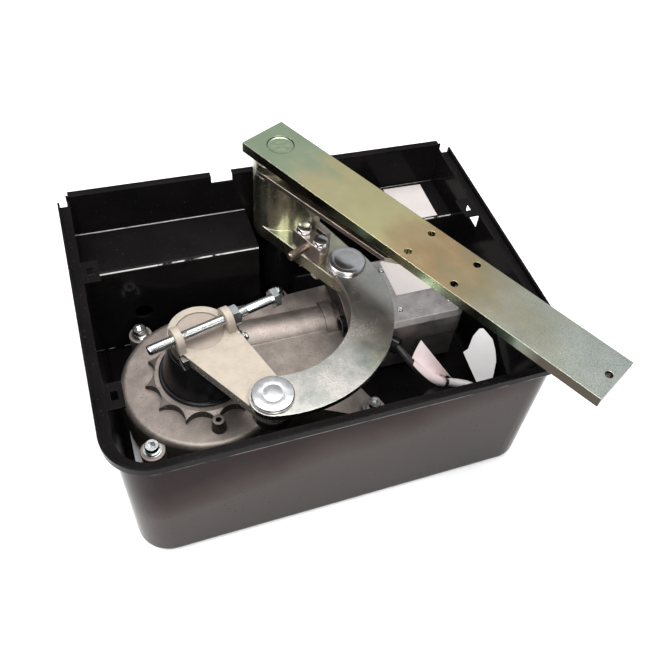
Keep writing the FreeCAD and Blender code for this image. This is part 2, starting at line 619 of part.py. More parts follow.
# Gate lever casting: bottom plate, hub and sloping web
def gate_lever():
    body = new_body("gate_lever")
    on_gate(body)
    pad(body, lever_outline(sketch_on(body, offset=GATE_LOW), "hub_radius", "gate_eye", "crank_length"),
        "gate_plate")
    pad(body, circle(sketch_on(body, offset=GATE_LOW), "hub_radius"), f"{HUB_TOP} - {GATE_LOW}")
    web = [(0, "-web_half"), ("web_length", "-web_half"), ("web_length", "web_half"), (0, "web_half")]
    pad(body, polygon(sketch_on(body, offset="plate_level"), web), f"{HUB_TOP} - plate_level")
    round_edges(body, "web_blend", upright_at("sqrt(hub_radius ^ 2 - web_half ^ 2)", "web_half"))
    slope = [("web_slope_start", HUB_TOP), ("web_length", "plate_level + web_end_height"),
             ("web_length", HUB_TOP)]
    pocket(body, polygon(sketch_on(body, "XZ_Plane", "hub_radius"), slope), "2 * hub_radius")
    pocket(body, circle(sketch_on(body, offset=HUB_TOP), BUSH_OUT), f"{HUB_TOP} - {GATE_LOW}")
    holes = circle(sketch_on(body, offset="plate_level"), "pin_radius + swing_gap", "crank_length")
    for place in LOCK_BOLTS.values():
        circle(holes, "small_radius", place, "-lock_offset")
    pocket(body, holes, "gate_plate")


def lock_block():
    body = new_body("lock_block")
    on_gate(body)
    top = "plate_level + lock_height"
    pad(body, rectangle(sketch_on(body, offset="plate_level"), "lock_start + lock_length / 2", "lock_length",
                        "-lock_offset", "lock_width"), "lock_height")
    pad(body, rectangle(sketch_on(body, offset="plate_level"), RELEASE_PLACE, "tongue_width",
                        "(tongue_end - lock_offset) / 2", "tongue_end + lock_offset"), "lock_height")
    pocket(body, circle(sketch_on(body, offset=top), "link_width / 2 + lock_relief", "crank_length"),
           "lock_height")
    for place in LOCK_BOLTS.values():
        pocket(body, rectangle(sketch_on(body, offset=top), place, "lock_slot",
                               "lock_width / 4 - lock_offset", "lock_width / 2"), "lock_slot_depth")
        pocket(body, circle(sketch_on(body, offset=top), "small_radius", place, "-lock_offset"),
               "lock_height")
    pocket(body, circle(sketch_on(body, "XZ_Plane", "lock_offset + lock_width / 2"),
                        "release_radius + run_clearance", RELEASE_PLACE, "release_level"),
           "release_bite + release_travel + swing_gap")


def lock_hardware():
    bolts, nuts = [], []
    top = "plate_level + lock_height"
    nut_low = f"({GATE_LOW} - small_nut)"
    for name, place in LOCK_BOLTS.items():
        at = (place, "-lock_offset")
        shank = cylinder(f"lock_shank_{name}", "small_radius", f"{top} - {nut_low} + small_tail", *at,
                         f"{nut_low} - small_tail")
        head = hexagon(f"lock_head_{name}", "small_flats", "small_head", *at, top)
        bolts.append(fuse(f"lock_bolt_{name}", [shank, head]))
        nuts.append(cut(f"lock_nut_{name}",
                        hexagon(f"lock_hex_{name}", "small_flats", "small_nut", *at, nut_low),
                        cylinder(f"lock_bore_{name}", "small_radius", "small_nut", *at, nut_low)))
    node(on_gate(group("lock_bolt_group", bolts)), "lock_bolts")
    node(on_gate(group("lock_nut_group", nuts)), "lock_nuts")
    face = "(-lock_offset - lock_width / 2)"
    end = f"({face} + release_bite - release_length)"
    rod = cylinder("release_rod", "release_radius", "release_length", RELEASE_PLACE, end,
                   "release_level", "Y")
    tip = cone("release_tip", "release_radius - release_bevel", "release_radius", "release_bevel",
               RELEASE_PLACE, f"{end} - release_bevel", "release_level", "Y")
    node(on_gate(fuse("release_solid", [rod, tip])), "release_pin")


# Gate arm: bar, collar, lock plate and plug turn together above the lever
def gate_arm():
    plate = new_body("lock_plate")
    on_arm(plate)
    reach, half, nose = "lock_plate_reach", "lock_plate_end", "lock_plate_nose"
    tip = f"{reach} + {half}"
    pad(plate, circle(sketch_on(plate, offset="lock_plate_level"), "hub_radius"), "lock_plate")
    pad(plate, polygon(sketch_on(plate, offset="lock_plate_level"),
                       [(0, "-hub_radius"), (reach, f"-{half}"), (tip, f"-{nose}"), (tip, nose),
                        (reach, half), (0, "hub_radius")]), "lock_plate")
    pocket(plate, circle(sketch_on(plate, offset=COLLAR_LOW), "post_radius + swing_gap"), "lock_plate")
    node(on_arm(ring("collar_ring", "hub_radius", BUSH_BORE, "arm_collar", z=COLLAR_LOW)), "arm_collar")

    bar = new_body("gate_arm")
    on_arm(bar)
    end = "arm_length - arm_overhang"
    pad(bar, rectangle(sketch_on(bar, offset=ARM_LOW), "arm_length / 2 - arm_overhang", "arm_length", "0",
                       "arm_width"), "arm_thickness")
    holes = circle(sketch_on(bar, offset=ARM_TOP), "plug_radius")
    for along in ("arm_hole_first", "arm_hole_first + arm_hole_pitch"):
        for side in (-1, 1):
            circle(holes, "arm_hole_radius", along, f"{side} * arm_hole_gauge / 2")
    circle(holes, "arm_hole_radius", f"{end} - arm_tip_hole")
    pocket(bar, holes, "arm_thickness")
    plug = cylinder("plug_disc", "plug_radius", "arm_thickness - plug_sink", "gate_x", GATE_Y, ARM_LOW)
    node(plug, "arm_plug")


# Curved link with its two pins
def link_parts():
    body = new_body("curved_link")
    chord = f"sqrt((gate_x - {CRANK_X}) ^ 2 + crank_from_gate ^ 2)"
    bush_radius = "pin_radius + run_clearance + link_bush_wall"
    pad(body, curved_band(sketch_on(body, offset=LINK_LOW), chord, "link_sagitta", "link_width"),
        "link_thickness")
    bores = circle(sketch_on(body, offset=LINK_TOP), bush_radius)
    circle(bores, "pin_radius", chord)
    pocket(body, bores, "link_thickness")
    turn_to(put(body, *PIN_A), f"atan2(crank_from_gate; gate_x - {CRANK_X})")
    bush = ring("link_bush_ring", bush_radius, "pin_radius + run_clearance", "link_thickness", z=LINK_LOW)
    node(put(bush, *PIN_A), "link_bush")
    for label, place, seat, head_low in (
            ("crank_pin", PIN_A, f"{CRANK_LOW} - crank_bush_flange", f"({LINK_TOP} + swing_gap)"),
            ("link_pin", PIN_B, f"{GATE_LOW} - swing_gap", LINK_TOP)):
        clip_low, head_top = f"({seat} - clip_thickness)", f"({head_low} + pin_head)"
        put(turned(label, [
            (0, f"{clip_low} - pin_tail"), ("pin_radius", f"{clip_low} - pin_tail"), ("pin_radius", head_low),
            ("pin_head_radius", head_low), ("pin_head_radius", f"{head_top} - pin_head_chamfer"),
            ("pin_head_radius - pin_head_chamfer", head_top), (0, head_top)]), *place)
        clip = ring(f"{label}_clip_ring", "clip_radius", "pin_radius", "clip_thickness", z=clip_low)
        node(put(clip, *place), f"{label}_clip")


# Drive lever casting with its ears, bush, cap and bolts
def drive_lever():
    body = new_body("drive_lever")
    on_crank(body)
    pad(body, lever_outline(sketch_on(body, offset=CRANK_LOW), "crank_hub", "crank_eye", "crank_length"),
        "crank_plate")
    pad(body, circle(sketch_on(body, offset=HUB_LOW), "crank_hub"), "hub_drop")
    for outer in (f"-{EAR_OUT}", "ear_inner"):
        pad(body, arch_outline(askew_sketch(body, outer, "ear_turn"), "ear_place", "ear_half", CRANK_LOW,
                               "stop_level"), "ear_thickness")
    bores = circle(sketch_on(body, offset="plate_level"), "shaft_radius")
    circle(bores, "pin_radius + crank_bush_wall", "crank_length")
    pocket(body, bores, "crank_plate + hub_drop")
    pocket(body, circle(sketch_on(body, offset="plate_level"), "cap_radius"), "cap_sink + cap_thickness")
    for radius, place, level in (("stop_radius + run_clearance", "ear_place", "stop_level"),
                                 ("small_radius", CLAMP_PLACE, CLAMP_LEVEL)):
        pocket(body, circle(askew_sketch(body, "-2 * crank_hub", "ear_turn"), radius, place, level),
               "4 * crank_hub", backwards=True)
    for seat, backwards in ((f"-{EAR_OUT}", False), ("clamp_seat", True)):
        pocket(body, circle(askew_sketch(body, seat, "ear_turn"), "seat_radius", CLAMP_PLACE, CLAMP_LEVEL),
               "ear_thickness", backwards)

    node(cylinder("cap_disc", "cap_radius", "cap_thickness", CRANK_X, CRANK_Y, CAP_LOW), "shaft_cap")
    shaft_low = "gear_floor + swing_gap"
    on_crank_axis(turned("output_shaft", [
        (0, shaft_low), ("shaft_radius", shaft_low), ("shaft_radius", CAP_LOW), (0, CAP_LOW)]))
    sleeve, flange_low = "pin_radius + crank_bush_wall", f"{CRANK_LOW} - crank_bush_flange"
    put(turned("crank_bush", [
        ("pin_radius", flange_low), ("crank_bush_radius", flange_low), ("crank_bush_radius", CRANK_LOW),
        (sleeve, CRANK_LOW), (sleeve, "plate_level"), ("pin_radius", "plate_level")]), *PIN_A)


def drive_hardware():
    shank = cylinder("stop_shank", "stop_radius", "stop_tail + stop_reach", "ear_place", "-stop_tail",
                     "stop_level", "Y")
    head = hexagon("stop_head_hex", "stop_flats", "stop_head", "ear_place", "stop_reach", "stop_level", "Y")
    node(on_ears(fuse("stop_bolt_solid", [shank, head])), "stop_bolt")
    at = ("ear_place", EAR_OUT, "stop_level", "Y")
    nut = cut("stop_nut_solid", hexagon("stop_nut_hex", "stop_flats", "stop_nut", *at),
              cylinder("stop_nut_hole", "stop_radius + run_clearance", "stop_nut", *at))
    node(on_ears(nut), "stop_lock_nut")
    at = (CLAMP_PLACE, EAR_OUT, CLAMP_LEVEL, "Y")
    shank = cylinder("clamp_shank", "small_radius", f"clamp_seat + {EAR_OUT} + small_nut + small_tail",
                     CLAMP_PLACE, "-clamp_seat", CLAMP_LEVEL, "Y")
    head = hexagon("clamp_head", "small_flats", "small_head", CLAMP_PLACE, "-clamp_seat - small_head",
                   CLAMP_LEVEL, "Y")
    node(on_ears(fuse("clamp_bolt_solid", [shank, head])), "clamp_bolt")
    nut = cut("clamp_nut_solid", hexagon("clamp_nut_hex", "small_flats", "small_nut", *at),
              cylinder("clamp_nut_hole", "small_radius", "small_nut", *at))
    node(on_ears(nut), "clamp_nut")


# Gearbox casting: round body, neck, worm tunnel, star ribs, lugs and boss
def gearbox_housing():
    body = new_body("gearbox_housing")
    on_crank_axis(body)
    revolve(body, polygon(sketch_on(body, "XZ_Plane"), [
        (0, "gear_floor"), ("body_radius", "gear_floor"), ("body_radius", "gear_top"), (0, "gear_top")]))
    round_edges(body, "body_edge", at_level("gear_top"))
    revolve(body, polygon(sketch_on(body, "XZ_Plane"), [
        (0, "gear_top - star_root"), ("star_radius", "gear_top - star_root"), ("star_radius", "gear_top"),
        ("star_floor", STAR_TOP), (0, STAR_TOP)]))
    lean = "180deg / star_ribs"
    scallop = (f"((star_radius ^ 2 + star_floor ^ 2 - 2 * star_radius * star_floor * cos({lean}))"
               f" / (2 * (star_radius * cos({lean}) - star_floor)))")
    scoop_x, scoop_y = f"(star_floor + {scallop}) * cos({lean})", f"(star_floor + {scallop}) * sin({lean})"
    scoop = pocket(body, circle(sketch_on(body, offset=STAR_TOP), scallop, scoop_x, scoop_y), "star_height")
    ribs = body.newObject("PartDesign::PolarPattern", "star_pattern")
    ribs.Originals = [scoop]
    ribs.Axis = (plane_of(body, "Z_Axis"), [""])
    ribs.Angle = 360
    bind(ribs, Occurrences="star_ribs")
    body.Tip = ribs
    doc.recompute()

    neck = [(0, "body_radius - gear_wall"), ("neck_end", "worm_offset + neck_half"),
            ("neck_end", "worm_offset - neck_half"), ("neck_knee", "-neck_shoulder"),
            (0, "gear_wall - body_radius")]
    pad(body, polygon(sketch_on(body, offset="gear_floor"), neck), "gear_top - gear_floor")
    worm_axis = ("worm_offset", "worm_level")
    pad(body, circle(sketch_on(body, "YZ_Plane", "tunnel_start"), "tunnel_radius", *worm_axis),
        "neck_end - tunnel_start")
    pad(body, circle(sketch_on(body, "YZ_Plane", "collar_start"), "tunnel_collar", *worm_axis),
        "collar_length")
    x, y = LUG_PLACES["front_right"]
    pad(body, polygon(sketch_on(body, offset="gear_floor"), [
        (x, f"{y} - lug_web"), (f"{x} + lug_web", y), ("web_far", 0), ("web_near", "-neck_shoulder")]),
        "lug_top - gear_floor - body_edge")
    for place in LUG_PLACES.values():
        pad(body, circle(sketch_on(body, offset="box_sheet"), "lug_radius", *place), "lug_top - box_sheet")
    boss = pad(body, circle(sketch_on(body, offset="gear_top"), "boss_radius", 0, "-boss_place"),
               "boss_height")
    bind(boss, TaperAngle="-boss_taper")
    doc.recompute()
    pocket(body, circle(sketch_on(body, offset="gear_top + boss_height"), "boss_hole_radius", 0,
                        "-boss_place"), "boss_height")
    pocket(body, circle(sketch_on(body, offset="gear_floor"), "cavity_radius"),
           "gear_top - gear_wall - gear_floor", backwards=True)
    pocket(body, circle(sketch_on(body, offset=STAR_TOP), "bearing_radius"),
           f"{STAR_TOP} - gear_top + gear_wall")
    pocket(body, circle(sketch_on(body, "YZ_Plane", "neck_end"), "tunnel_bore", *worm_axis),
           "neck_end + worm_tail + swing_gap")
    holes = sketch_on(body, offset="lug_top")
    for place in LUG_PLACES.values():
        circle(holes, "lug_hole_radius", *place)
    pocket(body, holes, "lug_top - box_sheet")
    seats = sketch_on(body, offset="lug_top")
    for place in LUG_PLACES.values():
        circle(seats, "seat_radius", *place)
    pocket(body, seats, "gear_top - lug_top", backwards=True)


def gearbox_fittings():
    cover_low = "gear_floor - cover_thickness"
    cover = cylinder("cover_disc", "cover_radius", "cover_thickness", CRANK_X, CRANK_Y, cover_low)
    node(cover, "gearbox_cover")
    screws = []
    for index in range(int(number("cover_screws"))):
        bearing = f"{index} * 360deg / cover_screws + cover_screw_bearing * 1deg"
        screws.append(hexagon(f"cover_screw_{index}", "cover_screw_flats", "cover_screw_head",
                              f"cover_screw_circle * cos({bearing})", f"cover_screw_circle * sin({bearing})",
                              f"{cover_low} - cover_screw_head"))
    node(on_crank_axis(group("cover_screw_group", screws)), "cover_screws")
    screws, washers = [], []
    head_low = "lug_top + washer"
    for name, place in LUG_PLACES.items():
        washers.append(ring(f"washer_{name}", "washer_radius", "small_radius", "washer", *place, "lug_top"))
        shank = cylinder(f"mount_shank_{name}", "small_radius", f"{head_low} - box_sheet", *place,
                         "box_sheet")
        head = cylinder(f"mount_head_{name}", "screw_head_radius", "screw_head", *place, head_low)
        socket = hexagon(f"mount_socket_{name}", "socket_flats", "socket_depth", *place,
                         f"{head_low} + screw_head - socket_depth")
        screws.append(cut(f"mount_screw_{name}", fuse(f"mount_solid_{name}", [shank, head]), socket))
    node(on_crank_axis(group("mount_screw_group", screws)), "mount_screws")
    node(on_crank_axis(group("mount_washer_group", washers)), "mount_washers")

    bore, flange_top = "shaft_radius + swing_gap", f"{STAR_TOP} + shroud_flange_height"
    top = f"{HUB_LOW} - shroud_gap"
    on_crank_axis(turned("shaft_shroud", [
        (bore, STAR_TOP), ("shroud_flange", STAR_TOP), ("shroud_flange", f"{flange_top} - shroud_edge"),
        ("shroud_flange - shroud_edge", flange_top), ("shroud_foot", flange_top),
        ("shroud_radius", top), (bore, top)]))
    low = ring("low_bearing", "bearing_radius", "shaft_radius + run_clearance", "bearing_width",
               z="gear_floor")
    high = ring("high_bearing", "bearing_radius", "shaft_radius + run_clearance", "bearing_width",
                z=f"{STAR_TOP} - bearing_width")
    node(on_crank_axis(group("bearing_group", [low, high])), "output_bearings")


# Worm drive inside the casting
def worm_drive():
    wheel = new_body("worm_wheel")
    on_crank_axis(wheel)
    low = "worm_level - wheel_width / 2"
    sketch = circle(sketch_on(wheel, offset=low), "wheel_radius")
    circle(sketch, "shaft_radius")
    pad(wheel, sketch, "wheel_width")
    root, over = "wheel_radius - tooth_depth", "wheel_radius + tooth_cut_over"
    tooth = pocket(wheel, polygon(sketch_on(wheel, offset="worm_level + wheel_width / 2"), [
        (root, "-tooth_foot_gap / 2"), (over, "-tooth_gap / 2"), (over, "tooth_gap / 2"),
        (root, "tooth_foot_gap / 2")]), "wheel_width")
    teeth = wheel.newObject("PartDesign::PolarPattern", "tooth_pattern")
    teeth.Originals = [tooth]
    teeth.Axis = (plane_of(wheel, "Z_Axis"), [""])
    teeth.Angle = 360
    bind(teeth, Occurrences="wheel_teeth")
    wheel.Tip = teeth
    doc.recompute()

    start, length = "worm_tail", "worm_pitch * worm_turns"
    profile = [(0, 0), ("worm_shaft_radius", 0), ("worm_shaft_radius", f"{start} - {length} / 2")]
    for turn in range(int(number("worm_turns"))):
        foot = f"{start} - {length} / 2 + {turn} * worm_pitch"
        profile += [("worm_root", f"{foot} + thread_foot"), ("worm_radius", f"{foot} + thread_flank"),
                    ("worm_radius", f"{foot} + worm_pitch - thread_flank"),
                    ("worm_root", f"{foot} + worm_pitch - thread_foot")]
    end = f"worm_tail + {MOTOR_END} - motor_end_wall - swing_gap"
    profile += [("worm_shaft_radius", f"{start} + {length} / 2"), ("worm_shaft_radius", end), (0, end)]
    shaft = turned("worm_shaft", profile)
    put(shaft, f"{CRANK_X} - worm_tail", f"{CRANK_Y} + worm_offset", "worm_level", *TURN["X"])
    rear = ring("rear_bearing_ring", "tunnel_bore", "worm_shaft_radius + run_clearance", "rear_bearing",
                "-worm_tail", "worm_offset", "worm_level", "X")
    front = ring("front_bearing_ring", "tunnel_bore", "worm_shaft_radius + run_clearance", "front_bearing",
                 "neck_end - front_bearing", "worm_offset", "worm_level", "X")
    node(on_crank_axis(group("worm_bearing_group", [rear, front])), "worm_bearings")


# Motor: flange, two casing halves, stator, rotor and lead gland
def motor():
    axis = ("worm_offset", "worm_level")
    disc = cylinder("flange_disc", "motor_flange_radius", "motor_flange", "neck_end", *axis, "X")
    bore = cylinder("flange_bore", "worm_shaft_radius + shaft_room", "motor_flange", "neck_end", *axis, "X")
    node(on_crank_axis(cut("flange_solid", disc, bore)), "motor_flange")
    plug = ring("plug_ring", "inspection_radius", "inspection_radius - inspection_wall", "inspection_depth",
                "neck_end - inspection_depth", "worm_offset - inspection_offset",
                "gear_top + inspection_radius + swing_gap", "X")
    node(on_crank_axis(plug), "inspection_plug")

    for label, low, high, step in (("motor_cover", "motor_split", "motor_top", "0"),
                                   ("motor_base", "motor_bottom", "motor_split", "motor_step")):
        body = new_body(label)
        on_crank_axis(body)
        pad(body, rectangle(sketch_on(body, offset=low), f"{MOTOR_START} + ({MOTOR_LENGTH} - {step}) / 2",
                            f"({MOTOR_LENGTH} - {step})", "worm_offset", f"2 * (motor_half - {step})"),
            f"{high} - {low}")
        if label == "motor_cover":
            near, far, top = number(MOTOR_START), number(MOTOR_END), number(high)
            round_edges(body, "motor_edge", lambda edge: (
                edge.BoundBox.ZLength > NEAR and edge.BoundBox.XMin > far - NEAR))
            bevel_edges(body, "motor_bevel", lambda edge: (
                edge.BoundBox.XMax > near + NEAR and edge.BoundBox.ZMin > top - NEAR))
        pocket(body, circle(sketch_on(body, "YZ_Plane", MOTOR_START), "motor_bore", *axis),
               f"{MOTOR_LENGTH} - motor_end_wall", backwards=True)
    stator_place = (STATOR_LENGTH, f"{MOTOR_START} + stator_start", *axis, "X")
    stator = ring("stator_ring", "motor_bore", "stator_bore", *stator_place)
    node(on_crank_axis(stator), "motor_stator")
    rotor = ring("rotor_ring", "stator_bore - rotor_gap", "worm_shaft_radius", *stator_place)
    node(on_crank_axis(rotor), "motor_rotor")
    tail = ring("tail_ring", "motor_bore", "worm_shaft_radius + run_clearance", "tail_bearing",
                f"{MOTOR_END} - motor_end_wall - tail_gap - tail_bearing", *axis, "X")
    node(on_crank_axis(tail), "motor_tail_bearing")
    root = "gland_radius * 2"
    barrel = ring("gland_barrel", "gland_radius", "cable_radius", f"gland_length + {root}", f"-{root}",
                  along="X")
    turn_to(put(barrel, *LEAD_START), GLAND_TURN)
    casing = block("gland_cut", MOTOR_LENGTH, "motor_half", "motor_top", f"{CRANK_X} + {MOTOR_START}",
                   MOTOR_FACE)
    node(cut("gland_solid", barrel, casing), "cable_gland")


# Motor lead: straight runs joined by tangent arcs, then a coil
def lead_path(points):
    corners = []
    for before, corner, after in zip(points, points[1:], points[2:]):
        back, ahead = before - corner, after - corner
        trim = ARC_SHARE * min(back.Length, ahead.Length)
        radius = trim / math.tan((math.pi - back.getAngle(ahead)) / 2)
        first = corner + back.normalize() * trim
        last = corner + ahead.normalize() * trim
        outward = (first + last) * 0.5 - corner
        middle = corner + outward.normalize() * (math.hypot(radius, trim) - radius)
        corners.append((first, middle, last))
    edges = []
    here = points[0]
    for first, middle, last in corners:
        edges += [Part.LineSegment(here, first).toShape(), Part.Arc(first, middle, last).toShape()]
        here = last
    edges.append(Part.LineSegment(here, points[-1]).toShape())
    return Part.Wire(edges), points[1] - points[0]


def motor_lead():
    points = [FreeCAD.Vector(*map(number, place)) for place in LEAD_ROUTE]
    path, heading = lead_path(points)
    section = Part.Wire(Part.makeCircle(number("cable_radius"), points[0], heading))
    lead = doc.addObject("Part::Feature", "lead_tube")
    lead.Shape = path.makePipeShell([section], True, False)
    node(lead, "motor_lead")
    coil = ring("coil_ring", "coil_mean + cable_radius", "coil_mean - cable_radius",
                "2 * cable_radius * coil_layers", COIL_X, COIL_Y, "box_sheet")
    node(coil, "lead_coil")


foundation_box()
lid_tabs()
shelf("shelf_left", f"-{INNER_X}", "shelf_left_end", "shelf_left_end - shelf_sheet", hole=True)
shelf("shelf_right", "shelf_right_end", INNER_X, "shelf_right_end")
pivot_post()
gate_lever()
lock_block()
lock_hardware()
gate_arm()
link_parts()
drive_lever()
drive_hardware()
gearbox_housing()
gearbox_fittings()
worm_drive()
motor()
motor_lead()
doc.recompute()

for thing in doc.Objects:
    if {"Invalid", "Error"} & set(thing.State):
        raise ValueError(f"{thing.Label}: {thing.State}")
os.makedirs("parts", exist_ok=True)
for piece in NODES:
    if piece.Shape.isNull() or not piece.Shape.isValid() or not piece.Shape.Solids:
        raise ValueError(f"{piece.Label}: no valid solid")
    piece.Shape.exportStep(f"parts/{piece.Label}.step")
print(f"{len(NODES)} pieces")
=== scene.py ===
"""Looks of the underground gate operator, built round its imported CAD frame. Metres, in the row frame."""

import math

import bpy
from mathutils import Matrix, Vector


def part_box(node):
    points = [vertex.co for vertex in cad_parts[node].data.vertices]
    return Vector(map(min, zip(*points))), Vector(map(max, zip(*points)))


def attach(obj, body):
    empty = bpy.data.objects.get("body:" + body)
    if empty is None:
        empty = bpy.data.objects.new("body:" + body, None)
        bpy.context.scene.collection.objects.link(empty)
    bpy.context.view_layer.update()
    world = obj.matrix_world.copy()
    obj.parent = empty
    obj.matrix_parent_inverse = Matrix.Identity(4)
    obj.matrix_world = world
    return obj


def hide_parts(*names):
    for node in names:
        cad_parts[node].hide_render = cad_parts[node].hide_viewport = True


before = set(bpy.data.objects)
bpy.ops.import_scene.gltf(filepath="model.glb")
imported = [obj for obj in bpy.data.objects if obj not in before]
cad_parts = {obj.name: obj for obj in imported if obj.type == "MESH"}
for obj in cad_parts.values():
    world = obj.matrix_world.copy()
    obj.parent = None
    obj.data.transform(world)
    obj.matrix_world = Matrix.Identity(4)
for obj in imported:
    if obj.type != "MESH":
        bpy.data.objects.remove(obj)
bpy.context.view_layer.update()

MM = 0.001
Z_AXIS = Vector((0, 0, 1))
HERE = Matrix.Identity(4)

# Places and sizes shared with the part's source, in millimetres and degrees
GATE_AXIS = (5.5, 121)
CRANK_AXIS = (-104, -9)
CRANK_LENGTH = 98
REST_ANGLE, ARM_ANGLE, EAR_ANGLE = -64.5, -62, -75.5


def point(x, y, z):
    return Vector((x, y, z)) * MM


def above(x, y, z=0):
    return Matrix.Translation(point(x, y, z))


def frame_at(axis, angle):
    """Placement of a frame on an upright axis, turned about it."""
    return above(*axis) @ Matrix.Rotation(math.radians(angle), 4, "Z")


ON_EARS = frame_at(CRANK_AXIS, EAR_ANGLE)
ON_LEVER = frame_at(GATE_AXIS, REST_ANGLE)
ON_CRANK = frame_at(CRANK_AXIS, REST_ANGLE)
ALONG_Y = Matrix.Rotation(math.radians(-90), 4, "X")


def add_to_scene(name, data):
    piece = bpy.data.objects.new(name, data)
    bpy.context.scene.collection.objects.link(piece)
    return piece


# Camera at the photograph's place
SENSOR_WIDTH, FOCAL_LENGTH = 36, 40.17
PICTURE_SHIFT = (-0.062, 0.026)
CAMERA_PLACE = (-0.15708, -0.42908, 0.65851)
CAMERA_TURN = (37.3527, -6.5214, -20.1678)


def add_camera():
    data = bpy.data.cameras.new("photo_camera")
    data.sensor_width = SENSOR_WIDTH
    data.lens = FOCAL_LENGTH
    data.shift_x, data.shift_y = PICTURE_SHIFT
    camera = add_to_scene("photo_camera", data)
    camera.location = CAMERA_PLACE
    camera.rotation_euler = [math.radians(angle) for angle in CAMERA_TURN]
    bpy.context.scene.camera = camera


# Materials: a Principled shader with noise for colour, gloss and grain
NOISE_RANGE = (0.3, 0.7)
CLOUD_SHARE, FINE_SHARE = 0.8, 0.2


class Shader:
    """Nodes of one material, laid out round its Principled shader."""

    def __init__(self, name, **constants):
        self.material = bpy.data.materials.new(name)
        self.material.use_nodes = True
        self.nodes = self.material.node_tree.nodes
        self.links = self.material.node_tree.links
        self.out = self.nodes["Principled BSDF"]
        self.place = self.add("TexCoord").outputs["Object"]
        for socket, value in constants.items():
            self.out.inputs[socket.replace("_", " ")].default_value = value

    def add(self, kind, inputs=None, **settings):
        node = self.nodes.new("ShaderNode" + kind)
        for name, value in settings.items():
            setattr(node, name, value)
        for name, value in (inputs or {}).items():
            self.join(value, node.inputs[name])
        return node

    def join(self, value, socket):
        if isinstance(value, bpy.types.NodeSocket):
            self.links.new(value, socket)
        else:
            socket.default_value = value

    def mapped(self, vector, **changes):
        return self.add("Mapping", {"Vector": vector, **changes}).outputs[0]

    def noise(self, scale, detail=4, rough=0.55, vector=None):
        return self.add("TexNoise", {"Vector": vector or self.place, "Scale": scale, "Detail": detail,
                                     "Roughness": rough}).outputs[0]

    def spread(self, value, low, high, to_low=0.0, to_high=1.0):
        return self.add("MapRange", {"Value": value, "From Min": low, "From Max": high, "To Min": to_low,
                                     "To Max": to_high}).outputs[0]

    def math(self, operation, first, second=0.0):
        return self.add("Math", {0: first, 1: second}, operation=operation).outputs[0]

    def plus(self, first, second):
        return self.math("ADD", first, second)

    def times(self, first, second):
        return self.math("MULTIPLY", first, second)

    def ramp(self, value, stops):
        node = self.add("ValToRGB", {"Fac": value})
        elements = node.color_ramp.elements
        while len(elements) < len(stops):
            elements.new(0.5)
        for element, (position, colour) in zip(elements, stops):
            element.position = position
            element.color = (*colour, 1)
        return node.outputs["Color"]

    def mix(self, amount, first, second):
        """Colour between two others; the numbers are the node's own sockets for colours."""
        node = self.add("Mix", data_type="RGBA")
        for value, index in ((amount, 0), (first, 6), (second, 7)):
            self.join((*value, 1) if isinstance(value, tuple) else value, node.inputs[index])
        return node.outputs[2]

    def bump(self, height, distance, normal):
        inputs = {"Height": height, "Distance": distance, "Strength": 1.0, "Normal": normal}
        return self.add("Bump", inputs).outputs[0]

    def rounded(self, radius):
        """Normal that rounds sharp edges, and a mask that is 1 on them."""
        bevel = self.add("Bevel", {"Radius": radius}, samples=4).outputs[0]
        flat = self.add("NewGeometry").outputs["Normal"]
        facing = self.add("VectorMath", {0: bevel, 1: flat}, operation="DOT_PRODUCT").outputs["Value"]
        return bevel, self.spread(facing, 0.97, 0.75)

    def parts(self, vector):
        return self.add("SeparateXYZ", {0: vector}).outputs

    def axis(self, name):
        return self.parts(self.place)[name]

    def steepness(self, flat, steep):
        """0 where a face lies flat, 1 where it stands."""
        normal = self.add("NewGeometry").outputs["Normal"]
        return self.spread(self.math("ABSOLUTE", self.parts(normal)["Z"]), flat, steep)

    def finish(self, colour, rough, normal):
        self.join(colour, self.out.inputs["Base Color"])
        self.join(rough, self.out.inputs["Roughness"])
        self.join(normal, self.out.inputs["Normal"])
        return self.material


MATERIALS = {}


def surface(name, tones, cloud, rough, grain, edge=None, edge_radius=0.0007, streak=None, speck=None,
            tint=None, **constants):
    """General finish: clouded tones, uneven gloss, fine grain, an edge tone that is partly rubbed paint and
    partly a painted highlight, and scattered specks.

    tones: ramp stops; cloud: size of the clouds in metres; rough: low and high roughness; grain: size and
    depth in metres; edge: colour and amount; streak: how the grain is drawn out; speck: size, share and
    colour; tint: changes the colour.
    """
    shader = Shader(name, **constants)
    clouds = shader.noise(1 / cloud, 6, 0.6)
    fine = shader.noise(1 / grain[0], 3, 0.6, shader.mapped(shader.place, Scale=streak) if streak else None)
    shade = shader.plus(shader.times(clouds, CLOUD_SHARE), shader.times(fine, FINE_SHARE))
    colour = shader.ramp(shade, tones)
    if tint:
        colour = tint(shader, colour)
    if speck:
        size, share, tone = speck
        spots = shader.noise(1 / size, 2, 0.4)
        colour = shader.mix(shader.spread(spots, 1 - share, 1.02 - share), colour, tone)
    normal, on_edge = shader.rounded(edge_radius)
    # Sharp edges, convex and hollow alike, take the edge tone: partly rubbed, partly a painted highlight.
    if edge:
        tone, amount = edge
        colour = shader.mix(shader.times(on_edge, shader.spread(clouds, 0.35, 0.6, 0, amount)), colour, tone)
    gloss = shader.spread(shader.plus(clouds, shader.times(fine, 0.5)), 0.5, 1.0, *rough)
    MATERIALS[name] = shader.finish(colour, gloss, shader.bump(fine, grain[1], normal))
    return MATERIALS[name]
